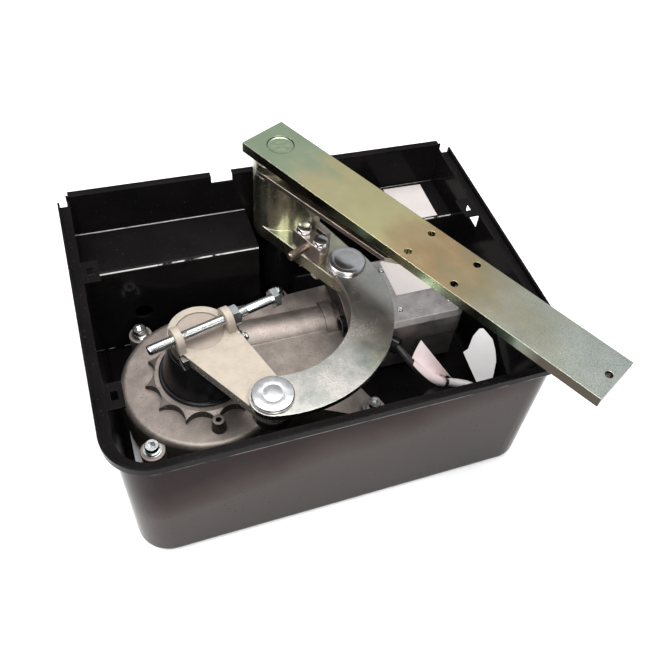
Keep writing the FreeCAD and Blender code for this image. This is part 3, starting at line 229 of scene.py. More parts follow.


# Film of yellow passivation on the bar, by the share of its length from the plug's end; the sides' ramp is a
# painted reflection, dark with two bright patches
BAR_ENDS = (-0.025, 0.370)
FILM_TOP = [(0.0, (0.42, 0.54, 0.36)), (0.13, (0.46, 0.55, 0.36)), (0.22, (0.65, 0.59, 0.335)),
            (0.36, (0.67, 0.605, 0.32)), (0.46, (0.58, 0.46, 0.25)), (0.55, (0.52, 0.35, 0.18)),
            (0.65, (0.43, 0.35, 0.20)), (0.76, (0.44, 0.41, 0.30)), (0.88, (0.50, 0.53, 0.46)),
            (1.0, (0.52, 0.56, 0.52))]
FILM_SIDE_REFLECTIONS = [(0.0, (0.06, 0.06, 0.045)), (0.20, (0.07, 0.065, 0.05)), (0.34, (0.10, 0.14, 0.09)),
             (0.44, (0.14, 0.20, 0.14)), (0.50, (0.74, 0.74, 0.44)), (0.56, (0.50, 0.66, 0.42)),
             (0.62, (0.12, 0.14, 0.10)), (0.70, (0.10, 0.10, 0.09)), (0.76, (0.30, 0.42, 0.30)),
             (0.81, (0.16, 0.18, 0.14)), (0.86, (0.036, 0.027, 0.022)), (1.0, (0.030, 0.022, 0.018))]
FILM_STRENGTH, FILM_DRIFT, FILM_PATCHES = 0.95, 0.09, (14, 30, 14)
SPECKLE_SIZE, SPECKLE_TONE = 0.0012, (0.31, 0.36, 0.28)


def film_and_side_reflections(shader, colour):
    """Green at the plug, straw, rose at the holes, and a grey-green speckle towards the tip; the steep sides
    get a painted reflection.
    """
    moved = shader.mapped(shader.place, Location=tuple(-point(*GATE_AXIS, 0)))
    turned = shader.mapped(moved, Rotation=(0, 0, math.radians(-ARM_ANGLE)))
    along = shader.spread(shader.parts(turned)["X"], *BAR_ENDS)
    patches = shader.noise(1.0, 3, 0.55, shader.mapped(turned, Scale=FILM_PATCHES))
    drift = shader.spread(patches, *NOISE_RANGE, -FILM_DRIFT, FILM_DRIFT)
    top = shader.ramp(shader.plus(along, drift), FILM_TOP)
    # Painted reflection on the steep sides: mostly dark, with bright patches where the labels would be
    # reflected.
    side = shader.ramp(along, FILM_SIDE_REFLECTIONS)
    film = shader.mix(FILM_STRENGTH, colour, shader.mix(shader.steepness(0.7, 0.4), top, side))
    spots = shader.spread(shader.noise(1 / SPECKLE_SIZE, 2, 0.5), 0.52, 0.60)
    near_tip = shader.spread(along, 0.45, 0.85, 0.0, 0.6)
    speckle = shader.times(shader.times(spots, shader.steepness(0.4, 0.7)), near_tip)
    return shader.mix(speckle, film, SPECKLE_TONE)


# Levels over which the lever's paint ends and the gearbox's star begins, and the tones of their walls: bare
# metal with painted shade on the lever, painted shade on the star
PAINT_ENDS, BARE_AND_SHADED_FLANK = (0.1312, 0.1306), (0.085, 0.078, 0.070)
STAR_BEGINS, STAR_WALL_SHADE = (0.0610, 0.0614), (0.045, 0.043, 0.042)


def dark_walls(shader, colour):
    """Dark flanks of the drive lever's plate below its painted top: partly bare metal, partly painted shade.
    """
    below_top = shader.spread(shader.axis("Z"), *PAINT_ENDS)
    # Steep faces below the paint get a darker tone: partly bare metal, partly painted shade.
    return shader.mix(shader.times(shader.steepness(0.5, 0.3), below_top), colour, BARE_AND_SHADED_FLANK)


def cast_shade(shader, colour):
    """Painted shade: darker walls of the star and the boss, told by height and steepness."""
    above_lid = shader.spread(shader.axis("Z"), *STAR_BEGINS)
    # Painted shade on the steep walls above the lid.
    return shader.mix(shader.times(shader.steepness(0.55, 0.25), above_lid), colour, STAR_WALL_SHADE)


# Paint of the box: tones of its walls from the floor up, which are a painted reflection of the floor with
# painted shade below the rim, and where its rim's outer lip begins
WALL_REFLECTION_TONES = [(0.0, (0.046, 0.041, 0.038)), (0.56, (0.057, 0.047, 0.044)), (0.76, (0.028, 0.016, 0.015)),
              (0.90, (0.013, 0.005, 0.005))]
WALL_TOP, WALL_WAVES, WALL_REFLECTION_TILT = 0.160, 0.012, (0.030, -0.046)
OUTWARD_FROM, RIM_GAP = 0.06, 0.0003
LIP_X, LIP_Y, LIP_FOOT = 0.1992, -0.1542, 0.1606
BOX_HALF_WIDTH, HIGHLIGHT_WIDTH = 0.2, 0.0006
RIM_LIP_HIGHLIGHT, SHELF_HIGHLIGHT = (0.16, 0.14, 0.13), (0.46, 0.44, 0.42)
SHELF_BEND_Y, SHELF_BEND_Z, SKIRT_FOOT = 0.0916, (0.1165, 0.1172), 0.0080


def outer_reflection_and_shade(shader, colour):
    """Painted reflection of the floor on the walls outside the box, grey-brown and tilted across the box,
    with a darker, redder painted shadow below the rim; a painted highlight along the foot of the rim's lip;
    black rim and inside.
    """
    x, y, z = (shader.axis(name) for name in "XYZ")
    normal = shader.parts(shader.add("NewGeometry").outputs["True Normal"])
    outward = shader.plus(shader.times(x, normal["X"]), shader.times(y, normal["Y"]))
    below_rim = shader.math("LESS_THAN", z, WALL_TOP - RIM_GAP)
    wall = shader.times(shader.math("GREATER_THAN", outward, OUTWARD_FROM), below_rim)
    # The wall tones are a painted reflection of the floor, turning into a painted shadow below the rim and
    # tilted across the box.
    height = shader.plus(z, shader.spread(shader.noise(9, 3), *NOISE_RANGE, -WALL_WAVES, WALL_WAVES))
    height = shader.plus(height, shader.spread(x, -BOX_HALF_WIDTH, BOX_HALF_WIDTH, *WALL_REFLECTION_TILT))
    tone = shader.ramp(shader.spread(height, 0.0, WALL_TOP), WALL_REFLECTION_TONES)
    lip = shader.math("MAXIMUM", shader.math("GREATER_THAN", shader.math("ABSOLUTE", x), LIP_X),
                      shader.math("LESS_THAN", y, LIP_Y))
    # Painted highlight: a thin, broken pale line along the foot of the rim's outer lip.
    foot = shader.times(lip, shader.spread(z, LIP_FOOT + HIGHLIGHT_WIDTH, LIP_FOOT))
    lip_highlight = shader.times(foot, shader.spread(shader.noise(40, 3), 0.38, 0.55))
    return shader.mix(lip_highlight, shader.mix(wall, colour, tone), RIM_LIP_HIGHLIGHT)


def bend_highlights(shader, colour):
    """Painted highlights: thin, broken pale lines along the shelves' front bend and the foot of their skirts.
    """
    from_bend = shader.math("ABSOLUTE", shader.math("SUBTRACT", shader.axis("Y"), SHELF_BEND_Y))
    line = shader.times(shader.spread(from_bend, HIGHLIGHT_WIDTH, HIGHLIGHT_WIDTH / 2),
                        shader.spread(shader.axis("Z"), *SHELF_BEND_Z))
    broken = shader.spread(shader.noise(90, 3), 0.40, 0.50)
    foot = shader.times(shader.spread(shader.axis("Z"), SKIRT_FOOT + HIGHLIGHT_WIDTH, SKIRT_FOOT), broken)
    return shader.mix(shader.math("MAXIMUM", shader.times(line, broken), foot), colour, SHELF_HIGHLIGHT)


PAINT = {"tones": [(0.3, (0.0035, 0.0032, 0.0034)), (0.7, (0.0075, 0.0066, 0.0066))], "cloud": 0.05,
         "grain": (0.0014, 0.000012), "edge": ((0.11, 0.09, 0.08), 0.20),
         "speck": (0.0022, 0.30, (0.02, 0.018, 0.017)), "Specular_IOR_Level": 0.035}


def make_paints_and_zinc():
    surface("black_paint", rough=(0.09, 0.16), tint=outer_reflection_and_shade, **PAINT)
    surface("shelf_paint", rough=(0.10, 0.18), tint=bend_highlights, **PAINT)
    surface("yellow_zinc", [(0.3, (0.44, 0.44, 0.32)), (0.5, (0.52, 0.48, 0.34)), (0.7, (0.58, 0.52, 0.37))],
            cloud=0.02, rough=(0.18, 0.28), grain=(0.0011, 0.00001), edge=((0.74, 0.66, 0.52), 0.5),
            tint=film_and_side_reflections, Metallic=1.0)
    surface("lever_zinc", [(0.3, (0.27, 0.27, 0.20)), (0.5, (0.36, 0.36, 0.27)), (0.7, (0.46, 0.45, 0.33))],
            cloud=0.02, rough=(0.22, 0.34), grain=(0.0010, 0.00002), edge=((0.86, 0.82, 0.70), 0.8),
            edge_radius=0.0012, Metallic=1.0)
    surface("plate_zinc", [(0.3, (0.26, 0.21, 0.18)), (0.5, (0.36, 0.30, 0.26)), (0.7, (0.46, 0.40, 0.35))],
            cloud=0.02, rough=(0.28, 0.40), grain=(0.0010, 0.00002), edge=((0.88, 0.84, 0.78), 0.9),
            edge_radius=0.0009, Metallic=1.0)
    surface("blue_zinc", [(0.30, (0.24, 0.265, 0.24)), (0.43, (0.38, 0.385, 0.355)),
                          (0.56, (0.49, 0.46, 0.425)), (0.72, (0.54, 0.49, 0.44))],
            cloud=0.040, rough=(0.20, 0.30), grain=(0.0009, 0.00002), edge=((0.70, 0.70, 0.68), 0.7),
            speck=(0.0012, 0.34, (0.28, 0.31, 0.28)), Metallic=1.0)
    surface("bolt_zinc", [(0.3, (0.46, 0.48, 0.48)), (0.7, (0.64, 0.65, 0.64))],
            cloud=0.006, rough=(0.14, 0.26), grain=(0.0006, 0.00001), edge=((0.92, 0.92, 0.92), 0.5),
            edge_radius=0.0003, Metallic=1.0)
    surface("pin_zinc", [(0.3, (0.50, 0.50, 0.50)), (0.7, (0.62, 0.615, 0.605))],
            cloud=0.006, rough=(0.17, 0.27), grain=(0.0007, 0.000015), edge=((0.86, 0.86, 0.86), 0.6),
            edge_radius=0.0004, Metallic=1.0)
    surface("sand_paint", [(0.3, (0.28, 0.235, 0.188)), (0.5, (0.32, 0.276, 0.225)),
                           (0.7, (0.36, 0.316, 0.26))],
            cloud=0.010, rough=(0.48, 0.62), grain=(0.0012, 0.00008), edge=((0.66, 0.61, 0.53), 0.8),
            edge_radius=0.001, tint=dark_walls, speck=(0.0016, 0.38, (0.36, 0.295, 0.22)), Metallic=0.15)


def make_bare_metals():
    surface("lock_casting", [(0.3, (0.34, 0.29, 0.26)), (0.5, (0.48, 0.42, 0.38)), (0.7, (0.62, 0.56, 0.51))],
            cloud=0.006, rough=(0.30, 0.45), grain=(0.0011, 0.00006), edge=((0.80, 0.76, 0.71), 0.7),
            Metallic=1.0)
    surface("release_steel", [(0.3, (0.24, 0.18, 0.15)), (0.7, (0.42, 0.34, 0.29))],
            cloud=0.006, rough=(0.26, 0.40), grain=(0.0006, 0.00001), edge=((0.6, 0.55, 0.5), 0.5),
            Metallic=1.0)
    surface("cast_aluminium", [(0.30, (0.165, 0.140, 0.125)), (0.5, (0.25, 0.213, 0.190)),
                               (0.7, (0.35, 0.30, 0.265))],
            cloud=0.018, rough=(0.42, 0.56), grain=(0.0012, 0.0001), edge=((0.52, 0.47, 0.43), 0.6),
            edge_radius=0.0012, tint=cast_shade, speck=(0.0018, 0.37, (0.19, 0.16, 0.14)), Metallic=0.8)
    surface("motor_aluminium", [(0.3, (0.20, 0.185, 0.18)), (0.5, (0.28, 0.262, 0.255)),
                                (0.7, (0.36, 0.34, 0.33))],
            cloud=0.014, rough=(0.36, 0.50), grain=(0.0012, 0.00008), edge=((0.72, 0.69, 0.66), 0.9),
            edge_radius=0.0010, speck=(0.002, 0.33, (0.13, 0.12, 0.118)), Metallic=0.85)
    surface("machined_steel", [(0.3, (0.42, 0.40, 0.38)), (0.7, (0.58, 0.56, 0.54))],
            cloud=0.02, rough=(0.26, 0.40), grain=(0.0008, 0.00001), edge=((0.75, 0.74, 0.72), 0.5),
            Metallic=1.0)
    surface("cap_steel", [(0.3, (0.25, 0.205, 0.17)), (0.7, (0.32, 0.265, 0.225))],
            cloud=0.012, rough=(0.44, 0.56), grain=(0.0010, 0.00004), edge=((0.45, 0.40, 0.35), 0.6),
            Metallic=0.3)
    surface("bronze", [(0.3, (0.42, 0.27, 0.12)), (0.7, (0.60, 0.42, 0.22))],
            cloud=0.006, rough=(0.30, 0.45), grain=(0.0006, 0.00002), edge=((0.7, 0.55, 0.35), 0.5),
            Metallic=1.0)
    surface("lamination", [(0.3, (0.10, 0.09, 0.085)), (0.7, (0.18, 0.16, 0.15))],
            cloud=0.01, rough=(0.45, 0.6), grain=(0.0005, 0.00003), streak=(60, 1, 1),
            edge=((0.3, 0.28, 0.26), 0.5), Metallic=0.6)


def make_plastics_and_papers():
    surface("black_plastic", [(0.3, (0.0045, 0.0045, 0.005)), (0.7, (0.010, 0.010, 0.0105))],
            cloud=0.02, rough=(0.14, 0.26), grain=(0.0015, 0.00001), edge=((0.045, 0.045, 0.045), 0.5),
            Specular_IOR_Level=0.4)
    surface("cable_sheath", [(0.3, (0.012, 0.012, 0.013)), (0.7, (0.024, 0.024, 0.025))],
            cloud=0.01, rough=(0.38, 0.52), grain=(0.0008, 0.00003))
    surface("paper", [(0.3, (0.91, 0.89, 0.885)), (0.7, (0.96, 0.945, 0.94))],
            cloud=0.02, rough=(0.45, 0.6), grain=(0.0006, 0.00002), edge=((0.70, 0.67, 0.66), 0.4))
    surface("label_paper", [(0.3, (0.46, 0.42, 0.40)), (0.7, (0.51, 0.47, 0.45))],
            cloud=0.02, rough=(0.40, 0.55), grain=(0.0006, 0.00002), edge=((0.55, 0.52, 0.50), 0.4))
    surface("tag_paper", [(0.3, (0.80, 0.66, 0.655)), (0.7, (0.88, 0.78, 0.775))],
            cloud=0.010, rough=(0.5, 0.65), grain=(0.0006, 0.00003), edge=((0.88, 0.86, 0.85), 0.7))
    surface("sleeve_film", [(0.3, (0.52, 0.49, 0.48)), (0.7, (0.68, 0.65, 0.64))],
            cloud=0.004, rough=(0.30, 0.45), grain=(0.0008, 0.00006))
    surface("tie_nylon", [(0.3, (0.020, 0.020, 0.022)), (0.7, (0.035, 0.035, 0.037))],
            cloud=0.004, rough=(0.35, 0.5), grain=(0.0006, 0.00002))


# Materials of the CAD pieces that nothing here replaces
FINISHES = {
    "black_paint": ["foundation_box", "lid_tabs", "pivot_post", "post_foot"],
    "shelf_paint": ["shelf_left", "shelf_right"],
    "yellow_zinc": ["gate_arm"],
    "lever_zinc": ["gate_lever", "arm_collar"],
    "plate_zinc": ["lock_plate"],
    "lock_casting": ["lock_block"],
    "blue_zinc": ["curved_link"],
    "bolt_zinc": ["mount_washers", "crank_pin_clip", "link_pin_clip", "cover_screws"],
    "release_steel": ["release_pin"],
    "sand_paint": ["drive_lever"],
    "cap_steel": ["shaft_cap"],
    "cast_aluminium": ["gearbox_housing", "gearbox_cover", "motor_flange"],
    "motor_aluminium": ["motor_cover", "motor_base"],
    "black_plastic": ["shaft_shroud", "crank_bush", "inspection_plug", "cable_gland"],
    "machined_steel": ["pivot_ball", "output_shaft", "worm_shaft", "output_bearings", "worm_bearings",
                       "motor_tail_bearing"],
    "bronze": ["lever_bushes", "link_bush", "worm_wheel"],
    "lamination": ["motor_stator", "motor_rotor"],
}


def finish_nodes():
    for name, nodes in FINISHES.items():
        for node in nodes:
            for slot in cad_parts[node].material_slots:
                slot.material = MATERIALS[name]


# Meshes, as corners and faces; sizes in millimetres
def bearings(count):
    return [2 * math.pi * index / count for index in range(count)]


def grid_faces(rows, columns, closed=False):
    """Quads between the rings of a grid; closed joins the last column to the first."""
    faces = []
    for row in range(rows - 1):
        for column in range(columns if closed else columns - 1):
            after = (column + 1) % columns
            faces.append((row * columns + column, row * columns + after, (row + 1) * columns + after,
                          (row + 1) * columns + column))
    return faces


def rings_solid(rings):
    """Closed solid through rings of equally many points; the first and last ring are capped."""
    columns = len(rings[0])
    corners = [corner for ring in rings for corner in ring]
    faces = grid_faces(len(rings), columns, closed=True)
    faces.append(tuple(reversed(range(columns))))
    faces.append(tuple(range(len(corners) - columns, len(corners))))
    return corners, faces


def circle_ring(radius, level, count=48):
    return [point(radius * math.cos(turn), radius * math.sin(turn), level) for turn in bearings(count)]


def lathe(profile, count=48):
    return rings_solid([circle_ring(radius, level, count) for radius, level in profile])


def hex_reach(flats, turn):
    """Distance from the middle of a hexagon to its side at a bearing."""
    return flats / 2 / math.cos(turn % (math.pi / 3) - math.pi / 6)


def hex_ring(flats, level, count=72):
    return [point(hex_reach(flats, turn) * math.cos(turn), hex_reach(flats, turn) * math.sin(turn), level)
            for turn in bearings(count)]


def hex_solid(flats, height, both_ends=False, count=72):
    """Hexagonal head or nut whose corners are turned off at 30 degrees, at its top or at both ends."""
    round_radius = flats * 0.475
    slope = math.tan(math.radians(30))

    def ring(level, side, inward=False):
        """Inner or outer edge of a chamfer; side is 1 at the foot, -1 at the top and 0 where it is square."""
        corners = []
        for turn in bearings(count):
            reach = hex_reach(flats, turn)
            drop = 0 if inward else max(0, reach - round_radius) * slope
            if inward:
                reach = min(reach, round_radius)
            corners.append(point(reach * math.cos(turn), reach * math.sin(turn), level + side * drop))
        return corners

    rings = [ring(0, 1, inward=True)] if both_ends else []
    rings += [ring(0, 1 if both_ends else 0), ring(height, -1), ring(height, -1, inward=True)]
    return rings_solid(rings)


def thread_solid(radius, pitch, low, high, count=32, steps=6):
    """Rod with a right-hand thread between two levels."""
    depth = 0.35 * pitch
    end_radius, end_length = radius - depth - 0.3, 0.5
    rows = int((high - low) / pitch * steps) + 1
    rings = [circle_ring(end_radius, low - end_length, count)]
    for row in range(rows):
        level = low + (high - low) * row / (rows - 1)
        fade = min(1, (level - low) / pitch, (high - level) / pitch)
        ring = []
        for index, turn in enumerate(bearings(count)):
            phase = (level / pitch - index / count) % 1
            reach = radius - depth * (1 - fade) - depth * fade * abs(2 * phase - 1)
            ring.append(point(reach * math.cos(turn), reach * math.sin(turn), level))
        rings.append(ring)
    rings.append(circle_ring(end_radius, high + end_length, count))
    return rings_solid(rings)


def build(name, solids, material, body, replaced=(), angle=35):
    """Piece made of (corners, faces, placement) solids, on a CAD body."""
    corners, faces = [], []
    for solid_corners, solid_faces, placement in solids:
        start = len(corners)
        corners += [placement @ corner for corner in solid_corners]
        faces += [tuple(start + index for index in face) for face in solid_faces]
    mesh = bpy.data.meshes.new(name)
    mesh.from_pydata(corners, [], faces)
    mesh.polygons.foreach_set("use_smooth", [True] * len(mesh.polygons))
    mesh.set_sharp_from_angle(angle=math.radians(angle))
    mesh.materials.append(MATERIALS[material])
    piece = add_to_scene(name, mesh)
    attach(piece, body)
    if replaced:
        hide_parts(*replaced)
    return piece


# Motor lead: the part's route, then almost three turns that a tie holds
LEAD_RADIUS = 4
LEAD_ROUTE = [(86.5, -17.9, 60), (92.5, -25.5, 59), (98, -36, 53), (106.5, -46.5, 45), (117.5, -54.5, 37.2),
              (131.5, -59.3, 30.3)]
COIL_MIDDLE = (137, -99)
COIL_RADIUS, COIL_TOP, COIL_START, COIL_TURNS, TURN_POINTS = 40.6, 23.2, 75, 2.85, 16
RAMP_START = 0.8
SLEEVE_ENDS = (0.078, 0.112)
SLEEVE_RADII = [4.15, 4.6, 4.7, 4.55, 4.7, 4.6, 4.15]
TIE_TURN, TIE_RADIUS, TIE_LEVEL = 2.35, 40, 15.2
TIE_HALF_WIDTH, TIE_HALF_HEIGHT, TIE_BEND, TIE_STEPS = 4.1, 12.1, 3.0, 6
CORE_COUNT, CORE_OFFSET, CORE_TURN = 3, 1.7, 0.5
CORE_PROFILE = [(1.2, -1.0), (1.25, 0.2), (1.25, 9), (0.6, 9.2), (0.6, 14.5), (0.4, 14.8)]


def coil_bearing(turns):
    return math.radians(COIL_START - 360 * turns)


def coil_points():
    """Turns that lie on each other and step down a layer over the last part of each turn."""
    places = []
    for index in range(int(COIL_TURNS * TURN_POINTS) + 1):
        turns = index / TURN_POINTS
        ramp = max(0, (turns % 1 - RAMP_START) / (1 - RAMP_START))
        layer = int(turns) + ramp * ramp * (3 - 2 * ramp)
        bearing = coil_bearing(turns)
        places.append((COIL_MIDDLE[0] + COIL_RADIUS * math.cos(bearing),
                       COIL_MIDDLE[1] + COIL_RADIUS * math.sin(bearing), COIL_TOP - 2 * LEAD_RADIUS * layer))
    return places


def spline_curve(name, places):
    data = bpy.data.curves.new(name, "CURVE")
    data.dimensions = "3D"
    data.resolution_u = 6
    spline = data.splines.new("NURBS")
    spline.points.add(len(places) - 1)
    for control, place in zip(spline.points, places):
        control.co = (*point(*place), 1)
    spline.order_u = 3
    spline.use_endpoint_u = True
    return add_to_scene(name, data)


def path_of(piece):
    """Points along a curve without its bevel, with their distances from its start."""
    bpy.context.view_layer.update()
    mesh = bpy.data.meshes.new_from_object(piece)
    places = [vertex.co.copy() for vertex in mesh.vertices]
    bpy.data.meshes.remove(mesh)
    reach = [0.0]
    for before, after in zip(places, places[1:]):
        reach.append(reach[-1] + (after - before).length)
    return places, reach


def path_frame(path, distance):
    """Place and heading at a distance along a path."""
    places, reach = path
    index = next((i for i, value in enumerate(reach) if value > distance), len(reach) - 1)
    share = (distance - reach[index - 1]) / (reach[index] - reach[index - 1])
    return places[index - 1].lerp(places[index], share), (places[index] - places[index - 1]).normalized()


def tube_rings(path, start, end, radii, count=24):
    """Rings round a path between two distances, one for each radius."""
    rings = []
    for index, radius in enumerate(radii):
        place, heading = path_frame(path, start + (end - start) * index / (len(radii) - 1))
        side = heading.cross(Z_AXIS).normalized()
        rise = side.cross(heading)
        rings.append([place + radius * MM * (side * math.cos(turn) + rise * math.sin(turn))
                      for turn in bearings(count)])
    return rings


def tie_band(middle, outward, width=3.2, thick=0.9):
    """Flat nylon band round the stacked turns."""
    along = outward.cross(Z_AXIS)
    loop = []
    for side, level, first in ((1, 1, 0), (-1, 1, 90), (-1, -1, 180), (1, -1, 270)):
        for step in range(TIE_STEPS + 1):
            turn = math.radians(first + 90 * step / TIE_STEPS)
            loop.append((side * (TIE_HALF_WIDTH - TIE_BEND), level * (TIE_HALF_HEIGHT - TIE_BEND),
                         math.cos(turn), math.sin(turn)))
    edges = ((TIE_BEND, -1), (TIE_BEND + thick, -1), (TIE_BEND + thick, 1), (TIE_BEND, 1))
    rings = []
    for reach, shift in edges:
        rings.append([middle + (outward * (flat + reach * cos) + Z_AXIS * (level + reach * sin)
                                + along * shift * width / 2) * MM for flat, level, cos, sin in loop])
    corners = [corner for ring in rings for corner in ring]
    faces = [tuple(index % len(corners) for index in face)
             for face in grid_faces(len(edges) + 1, len(loop), closed=True)]
    return corners, faces


def core_ends(path):
    """Bare cores at the far end of the lead."""
    end, heading = path_frame(path, path[1][-1])
    side = heading.cross(Z_AXIS).normalized()
    ahead = heading.to_track_quat("Z", "Y").to_matrix().to_4x4()
    cores = []
    for bearing in bearings(CORE_COUNT):
        turn = bearing + CORE_TURN
        offset = (side * math.cos(turn) + Z_AXIS * math.sin(turn)) * CORE_OFFSET * MM
        cores.append((*lathe(CORE_PROFILE, 16), Matrix.Translation(end + offset) @ ahead))
    return cores


def motor_lead():
    lead = spline_curve("lead", LEAD_ROUTE + coil_points())
    path = path_of(lead)
    lead.data.bevel_depth = LEAD_RADIUS * MM
    lead.data.bevel_resolution = 6
    lead.data.use_fill_caps = True
    lead.data.materials.append(MATERIALS["cable_sheath"])
    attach(lead, "box")
    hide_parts("motor_lead", "lead_coil")

    sleeve_rings = tube_rings(path, *SLEEVE_ENDS, SLEEVE_RADII)
    sleeve = build("lead_sleeve", [(*rings_solid(sleeve_rings), HERE)], "sleeve_film", "box")

    bearing = coil_bearing(TIE_TURN)
    outward = Vector((math.cos(bearing), math.sin(bearing), 0))
    middle = point(*COIL_MIDDLE, TIE_LEVEL) + outward * TIE_RADIUS * MM
    tie = build("coil_tie", [(*tie_band(middle, outward), HERE)], "tie_nylon", "box")

    ends = build("lead_cores", core_ends(path), "cable_sheath", "box")
    return path


# Bare paper: tag on the lead, label that leans on the wall, labels on the shelf and the motor
PAPER_STEPS = 8
TAG_FOLD, TAG_EDGE, TAG_ROWS = (0.030, 0.073), [(117.2, -23.4, 62), (138.6, -68.6, 43)], 13
TAG_BULGE, TAG_GAP, TAG_WRAP = 5, 1.2, 200
LABEL_LEFT = [(169.5, -68, 27.2), (166.6, -52, 35), (164.4, -37, 41.8), (168.3, -38, 48),
              (174.1, -31.9, 60.4), (179.6, -31, 70)]
LABEL_RIGHT = [(176, -84, 27.2), (182.5, -74, 45), (186, -66.5, 56), (187, -58, 64), (186.8, -48, 70.5),
               (182.2, -33.5, 72.6)]
LABEL_GAP, LABEL_THICKNESS, CARD_THICKNESS, TAG_THICKNESS = 0.22, 0.2, 0.4, 0.25


def paper_sheet(rows, thick):
    """Thin closed sheet through a grid of points."""
    count, columns = len(rows), len(rows[0])
    front = [corner for row in rows for corner in row]

    def slope(row, column):
        across = rows[row][min(column + 1, columns - 1)] - rows[row][max(column - 1, 0)]
        down = rows[min(row + 1, count - 1)][column] - rows[max(row - 1, 0)][column]
        return across.cross(down).normalized()

    back = [rows[row][column] - slope(row, column) * thick * MM
            for row in range(count) for column in range(columns)]
    faces = grid_faces(count, columns)
    shift = len(front)
    faces += [tuple(shift + index for index in reversed(face)) for face in grid_faces(count, columns)]
    rim = ([(0, column) for column in range(columns)] + [(row, columns - 1) for row in range(1, count)]
           + [(count - 1, column) for column in reversed(range(columns - 1))]
           + [(row, 0) for row in reversed(range(1, count - 1))])
    edge = [row * columns + column for row, column in rim]
    for first, second in zip(edge, edge[1:] + edge[:1]):
        faces.append((second, first, shift + first, shift + second))
    return front + back, faces


def build_paper(name, rows, thick, material):
    build(name, [(*paper_sheet(rows, thick), HERE)], material, "box", angle=60)


def tag_row(path, along):
    """Points across the tag at a share of its length: round the lead, then out to its free edge."""
    place, heading = path_frame(path, TAG_FOLD[0] + (TAG_FOLD[1] - TAG_FOLD[0]) * along)
    tip = point(*TAG_EDGE[0]).lerp(point(*TAG_EDGE[1]), along)
    lean = (tip - place).normalized()
    face = heading.cross(lean).normalized()
    row = []
    for index in range(PAPER_STEPS + 1):
        turn = math.radians(-TAG_WRAP + TAG_WRAP * index / PAPER_STEPS)
        row.append(place + (face * -math.cos(turn) + lean * -math.sin(turn)) * (LEAD_RADIUS + TAG_GAP) * MM)
    root = row[-1]
    for index in range(1, PAPER_STEPS + 1):
        share = index / PAPER_STEPS
        swell = TAG_BULGE * MM * math.sin(math.pi * share) * (0.6 + 0.4 * math.sin(math.pi * along))
        row.append(root.lerp(tip, share) - face * swell)
    return row


def top_of(node):
    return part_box(node)[1].z / MM


def flat_label(name, carrier, middle, size, turn, lift=0.0):
    """Label that lies on a piece, with one corner that may lift."""
    placed = above(*middle, top_of(carrier) + LABEL_GAP) @ Matrix.Rotation(math.radians(turn), 4, "Z")
    shares = [index / PAPER_STEPS for index in range(PAPER_STEPS + 1)]
    rows = [[placed @ point(size[0] * (across - 0.5), size[1] * (0.5 - down), lift * (across * down) ** 3)
             for across in shares] for down in shares]
    build_paper(name, rows, LABEL_THICKNESS, "label_paper")


def paper_pieces(path):
    rows = [tag_row(path, step / (TAG_ROWS - 1)) for step in range(TAG_ROWS)]
    build_paper("lead_tag", rows, TAG_THICKNESS, "tag_paper")
    rows = [[point(*left).lerp(point(*right), index / PAPER_STEPS) for index in range(PAPER_STEPS + 1)]
            for left, right in zip(LABEL_LEFT, LABEL_RIGHT)]
    build_paper("leaning_label", rows, CARD_THICKNESS, "paper")
    flat_label("shelf_label", "shelf_right", middle=(152, 118.3), size=(44, 52), turn=-1.0, lift=0.8)
    flat_label("motor_label", "motor_cover", middle=(131, 48), size=(54, 50), turn=0.5)


# Fasteners and pins with the detail that the plain solids leave out: threads as (radius, pitch)
M10, M10_FLATS, M10_SHANK, M10_CORE = (5, 1.5), 17, 4.9, 4.3
M8, M8_FLATS, M8_SHANK = (4, 1.25), 13, 3.95
M8_HEAD, M8_NUT = 5.3, 6.5
STOP_REACH, STOP_LEVEL = 6, 141
CLAMP_REACH, CLAMP_LEVEL = 19.6, 123.4
NUT_SEAT, OVERLAP = 27, 0.2
LOCK_BOLT_REACHES, LOCK_BOLT_SIDE = (51, 74), -13.5
MOUNT_SCREWS = ((86, 125), (88, 226), (165, -27), (128, 42))
MOTOR_SCREWS_X, MOTOR_SCREWS_Y = (101, 156), (4, 60)
PIN_RADIUS, PIN_HEAD_RADIUS, PIN_POINTS = 8, 18.2, 96
PLUG_RADIUS, PLUG_FOOT, PLUG_TOP, PLUG_STEPS, DENT_DEPTH = 13, 207, 215.7, 8, 0.16
SEAM = 0.0008


def socket_head(radius, height, flats, depth):
    """Cap-screw head with a knurled side and a hexagonal socket."""
    count = 72

    def knurled(level):
        outer, inner = circle_ring(radius, level, count), circle_ring(radius * 0.975, level, count)
        return [outer[index] if index % 2 else inner[index] for index in range(count)]

    return rings_solid([circle_ring(radius * 0.96, 0, count), knurled(0.5), knurled(height - 0.9),
                        circle_ring(radius - 0.7, height, count), hex_ring(flats + 0.5, height),
                        hex_ring(flats, height - 0.3), hex_ring(flats, height - depth)])


def flange_head(flats, height):
    """Hexagon on a round flange, as one pressed head."""
    flange = lathe([(flats * 0.56, 0), (flats * 0.58, 0.5), (flats * 0.54, 1.3), (flats * 0.48, 1.6)])
    return flange, hex_solid(flats, height)


